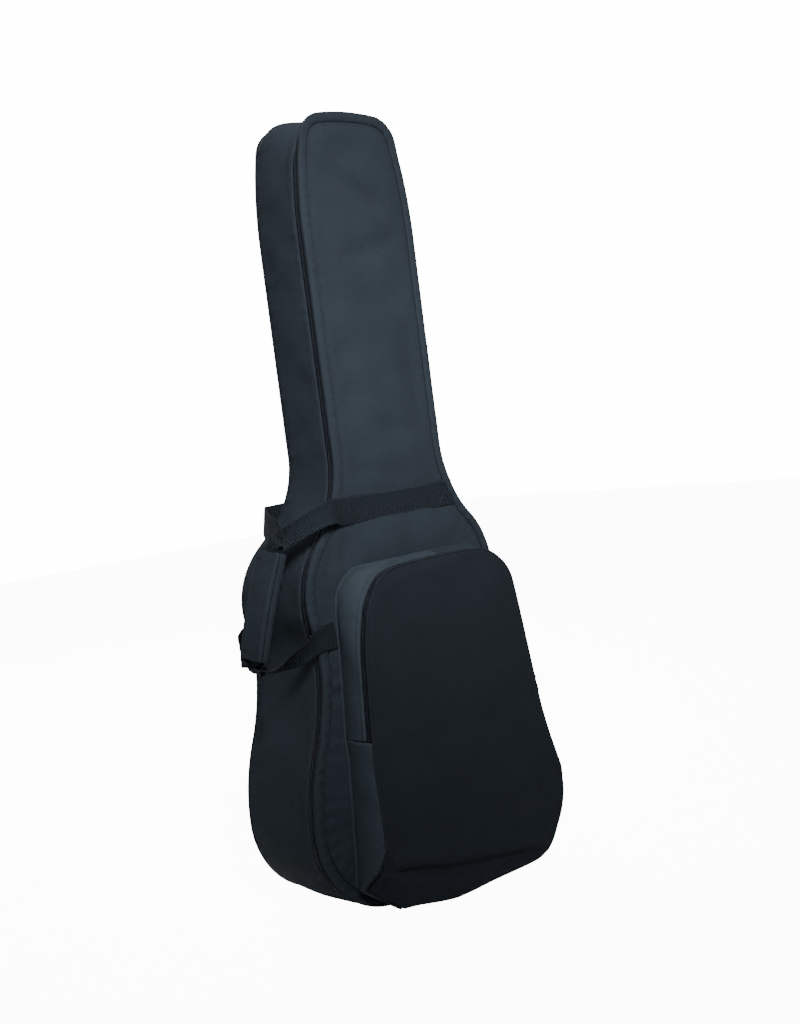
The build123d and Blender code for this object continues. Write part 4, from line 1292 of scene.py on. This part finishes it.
def through_grip(layer):
    """The stations of a loop where it runs flat inside the grip."""
    return [(in_grip(layer, height), GRIP_BACK, WEB_IN_GRIP, 0) for height in GRIP_STATIONS]


front_stations = [
    (on_front(BAND_SEAM_X, BAND_Z, 0.0022), UP, WEB_WIDE, 0),
    (on_front(-0.100, BAND_Z, 0.0026), UP, WEB_WIDE, 0),
    ((-0.122, -0.0860, 0.5560), (0, 0.12, 1), 0.034, 0.3),
    ((-0.147, -0.0840, 0.5500), (-0.15, 0.40, 0.90), 0.029, 0.8),
    ((-0.166, -0.0740, 0.5410), (-0.35, 0.65, 0.66), 0.028, 1.0),
    ((-0.181, -0.0610, 0.5320), (-0.35, 0.90, 0.3), 0.029, 0.8),
    (in_grip(FRONT_LAYER, HALF_GRIP + 0.009), GRIP_BACK, WEB_IN_GRIP, 0.2),
    *through_grip(FRONT_LAYER),
    (in_grip(FRONT_LAYER - 0.002, -0.009 - HALF_GRIP), GRIP_BACK, WEB_IN_GRIP, 0.2),
    ((-0.232, -0.043, 0.3600), (0.1, 0.97, -0.2), 0.031, 0.6),
    ((-0.213, -0.060, 0.3670), (0.1, 0.80, -0.60), 0.029, 0.9),
    ((-0.192, -0.078, 0.3800), (0, 0.45, -0.90), 0.029, 0.9),
    (on_front(-0.172, 0.389, 0.0040), (0, 0.10, -1), 0.033, 0.4),
    (on_front(-0.142, 0.392, 0.0014), DOWN, WEB_WIDE, 0),
]
rear_stations = [
    (on_rear(-0.106, BAND_Z, 0.0032), (0, 0.22, -0.97), WEB_WIDE, 0),
    ((-0.1385, 0.0450, 0.552), (0, 0.22, -0.97), WEB_WIDE, 0),
    ((-0.1555, 0.0260, 0.553), (-0.05, 0.25, -0.97), WEB_WIDE, 0),
    ((-0.1690, 0.0030, 0.547), (-0.10, 0.40, -0.91), 0.034, 0.2),
    (in_grip(REAR_LAYER, HALF_GRIP + 0.013), (0, 0.95, -0.25), WEB_IN_GRIP, 0),
    *through_grip(REAR_LAYER),
    (in_grip(REAR_LAYER + 0.001, -0.007 - HALF_GRIP), GRIP_BACK, WEB_IN_GRIP, 0),
    ((-0.229, -0.006, 0.3655), (0, 0.97, 0.2), 0.035, 0.2),
    ((-0.215, 0.028, 0.3700), (0, 0.7, 0.7), 0.036, 0.2),
    ((-0.197, 0.061, 0.3790), (0, 0.3, 0.95), WEB_WIDE, 0),
    (on_rear(-0.172, 0.386, 0.0040), UP, WEB_WIDE, 0),
    (on_rear(-0.138, 0.388, 0.0016), UP, WEB_WIDE, 0),
]


def add_webbing(name, stations, body, node):
    """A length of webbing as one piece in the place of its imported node."""
    add_piece(name, ribbon_mesh(name, stations), WEBBING, body, [node])


add_webbing("front_loop_webbing", front_stations, "lid", "front_handle_loop")
add_webbing("rear_loop_webbing", rear_stations, "shell", "rear_handle_loop")

band_x = np.linspace(BAND_SEAM_X - 0.004, BAND_END_X, 24)
front_band_stations = [(on_front(x, BAND_Z, 0.0009), UP, WEB_WIDE, 0) for x in band_x]
add_webbing("waist_band_webbing", front_band_stations, "lid", "waist_band")
rear_x = np.linspace(-BAND_END_X, BAND_END_X, 24)
rear_slope = (rear_line(np.array(BAND_Z + 0.01)) - rear_line(np.array(BAND_Z - 0.01))) / 0.02
rear_band_stations = [(on_rear(x, BAND_Z, 0.0010), (0, rear_slope, 1), WEB_WIDE, 0) for x in rear_x]
add_webbing("rear_band_webbing", rear_band_stations, "shell", "rear_waist_band")
for height, label in ((BAND_Z + WEB_WIDE / 2 - 0.003, "upper"), (BAND_Z - WEB_WIDE / 2 + 0.003, "lower")):
    path = np.array([on_front(x, BAND_Z, 0.0019) + (0, 0, height - BAND_Z) for x in band_x[1:-1]])
    stitch_row("waist_band_seam_" + label, path, (0, -1, 0), "lid")


def cross_box(name, middle, half_x, half_z, lift, body):
    """The square of stitches with a cross in it that holds webbing down, on the front of the bag."""
    x, z = middle
    corners = np.array([(x - half_x, z - half_z), (x + half_x, z - half_z), (x + half_x, z + half_z),
                        (x - half_x, z + half_z), (x - half_x, z - half_z), (x + half_x, z + half_z),
                        (x - half_x, z + half_z), (x + half_x, z - half_z)])
    run = run_along(corners, False)
    at = np.linspace(0, run[-1], 90)
    line = np.stack([np.interp(at, run, corners[:, k]) for k in range(2)], 1)
    level = front_y(np.full(90, x), np.full(90, z)) - lift
    return stitch_row(name, at_depth(line, level), (0, -1, 0), body)


cross_box("band_right_cross", (BAND_END_X - 0.018, BAND_Z), 0.013, 0.014, 0.0021, "lid")
print("webbing: 2 bands and 2 loops")

# %% [markdown]
# The grip is a padded sleeve that closes round both loops: a tray below, and a flap over it that a
# hook-and-loop strip holds shut.  Both are soft, so their sections are rounded squares, fuller in the
# middle and drawn in at the bound ends.

# %% Grip
def sweep_in_grip(name, section, heights, material, body, nodes, ends=0.86, puff=0.0):
    """A closed section (back, out) carried up the grip, with its ends drawn in."""
    near_end = np.exp(-(HALF_GRIP - np.abs(heights)) / 0.0035)
    scale = (1 - (1 - ends) * near_end)[:, None]
    middle = section.mean(0)
    back = middle[0] + (section[None, :, 0] - middle[0]) * (1 - 0.35 * (1 - scale))
    out = middle[1] + (section[None, :, 1] - middle[1]) * scale
    hem = 1 - 0.06 * np.exp(-((np.abs(heights) - HALF_GRIP + 0.011) / 0.0016) ** 2)[:, None]
    out = middle[1] + (out - middle[1]) * hem + bowed(heights)[:, None]
    puffed = puff * np.cos(np.pi * heights / (2 * HALF_GRIP))[:, None]
    out = out + puffed * (section[None, :, 1] > middle[1])
    points = GRIP_MIDDLE + back[..., None] * GRIP_BACK + out[..., None] * GRIP_OUT
    points = points + heights[:, None, None] * GRIP_UP
    rounds = run_along(section)[None, :]
    spots = np.stack(np.broadcast_arrays(heights[:, None] + HALF_GRIP, rounds), -1)
    return add_piece(name, tube_mesh(name, points, spots), material, body, nodes)


arc = np.linspace(0, np.pi, 26)
square_x, square_y = np.sign(np.cos(arc)) * np.abs(np.cos(arc)) ** 0.36, np.sin(arc) ** 0.42
GRIP_SPLIT, FLAP_RISE, FLAP_PUFF = 0.0043, 0.0062, 0.0016
HEM_IN = 0.011
tray = np.concatenate([
    np.stack([0.023 * square_x, GRIP_SPLIT - 0.0142 * square_y], 1),
    np.stack([-0.0182 * square_x, GRIP_SPLIT - 0.0090 * square_y], 1)])
flap = np.concatenate([
    np.stack([0.0236 * square_x, GRIP_SPLIT + FLAP_RISE * square_y], 1),
    np.stack([np.linspace(-0.0225, 0.0225, 14), np.full(14, GRIP_SPLIT + 0.0003)], 1)])
grip_heights = HALF_GRIP * np.sin(np.linspace(-np.pi / 2, np.pi / 2, 60))
grip_tray = sweep_in_grip("grip_tray", tray, grip_heights, SHELL, "lid", ["grip_pad"])
grip_cover = sweep_in_grip("grip_cover", flap, grip_heights, SHELL, "grip_wrap",
                           ["grip_flap"], puff=FLAP_PUFF)


def grip_hem(height):
    """Stitches across the grip's outer face."""
    back = np.linspace(-0.019, 0.019, 20)[:, None]
    puffed = FLAP_PUFF * math.cos(math.pi * height / (2 * HALF_GRIP))
    level = GRIP_SPLIT + FLAP_RISE + bowed(height) + puffed
    return GRIP_MIDDLE + back * GRIP_BACK + level * GRIP_OUT + height * GRIP_UP


for height, label in ((HALF_GRIP - HEM_IN, "upper"), (HEM_IN - HALF_GRIP, "lower")):
    stitch_row("grip_hem_" + label, grip_hem(height), GRIP_OUT, "grip_wrap")
print("grip:", round(GRIP_LONG, 4), "m long")

# %% [markdown]
# On the back are two shoulder straps: a padded part, a plastic ladder lock, a thinner webbing that
# adjusts it, and a stitched tab at the lower corner.  The padded part is a long flat cushion, and its
# thickness falls away to its sewn edges.

# %% Shoulder straps
PAD_TOP, PAD_FOOT = np.array([0.038, 0.612]), np.array([0.092, 0.262])
TAIL_FOOT = np.array([0.152, 0.082])
PAD_WIDE, PAD_THICK = 0.055, 0.010
TAIL_WIDE, TAIL_THICK = 0.025, 0.0016


def strap_stations(side, start, end, width, lift, count=16):
    """Stations down the back from start to end, lifted off the rear cloth."""
    share = np.linspace(0, 1, count)[:, None]
    spots = start + (end - start) * share
    x, z = side * spots[:, 0], spots[:, 1]
    along = end - start
    across = np.array([side * along[1], 0, -along[0]])
    middles = np.stack([x, rear_line(z) + lift, z], 1)
    return [(middle, across, width, 0) for middle in middles]


for side, label in ((-1, "left"), (1, "right")):
    pad_stations = strap_stations(side, PAD_TOP, PAD_FOOT, PAD_WIDE, 0.0085)
    pad = ribbon_mesh("shoulder_cushion_" + label, pad_stations, PAD_THICK, step=0.005, sides=36)
    cushion = add_piece("shoulder_cushion_" + label, pad, SHELL, "shell",
                        ["shoulder_pad_" + label])
    along = (TAIL_FOOT - PAD_FOOT) / np.linalg.norm(TAIL_FOOT - PAD_FOOT)
    tail = strap_stations(side, PAD_FOOT + 0.004 * along, TAIL_FOOT, TAIL_WIDE, 0.0040)
    add_piece("strap_webbing_" + label, ribbon_mesh("strap_webbing_" + label, tail, TAIL_THICK), WEBBING,
              "shell", ["strap_tail_" + label])


def rear_patch(name, middle, half_x, half_z, material, node, lift=0.0014):
    """A rounded patch sewn on the back, lying on the rear cloth."""
    share_x, share_z = np.meshgrid(np.linspace(-1, 1, 40), np.linspace(-1, 1, 20), indexing="ij")
    round_x = share_x * np.sqrt(1 - 0.06 * share_z ** 6)
    round_z = share_z * np.sqrt(1 - 0.10 * share_x ** 8)
    x, z = middle[0] + half_x * round_x, middle[1] + half_z * round_z
    points = np.stack([x, rear_y(x, z) + lift, z], -1)
    mesh = grid_mesh(name, points, np.stack([x, z], -1), flip=True)
    return thicken(add_piece(name, mesh, material, "shell", [node]), 0.0012)


rear_patch("strap_yoke_patch", (0, 0.604), 0.075, 0.024, SHELL, "strap_yoke")
for side, label in ((-1, "left"), (1, "right")):
    rear_patch("strap_corner_" + label, (side * TAIL_FOOT[0], TAIL_FOOT[1]), 0.022, 0.015, SHELL,
               "strap_tab_" + label)
print("straps: 2 cushions, 2 tails, 3 patches")

# %% [markdown]
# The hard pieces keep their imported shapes: sliders, pulls, ladder locks and the hook-and-loop strips.
# They only need their own finishes, given through their material slots.

# %% Finishes of the hard pieces
def finish_nodes(material, *names):
    for name in names:
        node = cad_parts[name]
        node.data.materials.clear()
        node.data.materials.append(material)


finish_nodes(ZIP_METAL, "main_upper_slider", "main_lower_slider", "pocket_slider", "main_upper_pull",
             "main_lower_pull", "pocket_pull")
finish_nodes(BUCKLE, "ladder_lock_left", "ladder_lock_right")
finish_nodes(HOOKS, "grip_loop_tape", "grip_hook_tape")
left = [name for name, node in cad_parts.items() if not node.hide_render]
print("packed pieces still shown:", sorted(left))

# %% [markdown]
# Before finishing, the box of everything shown is printed.

# %% Sizes and finish
low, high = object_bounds()
print("visual box", [round(x, 4) for x in low], [round(x, 4) for x in high])
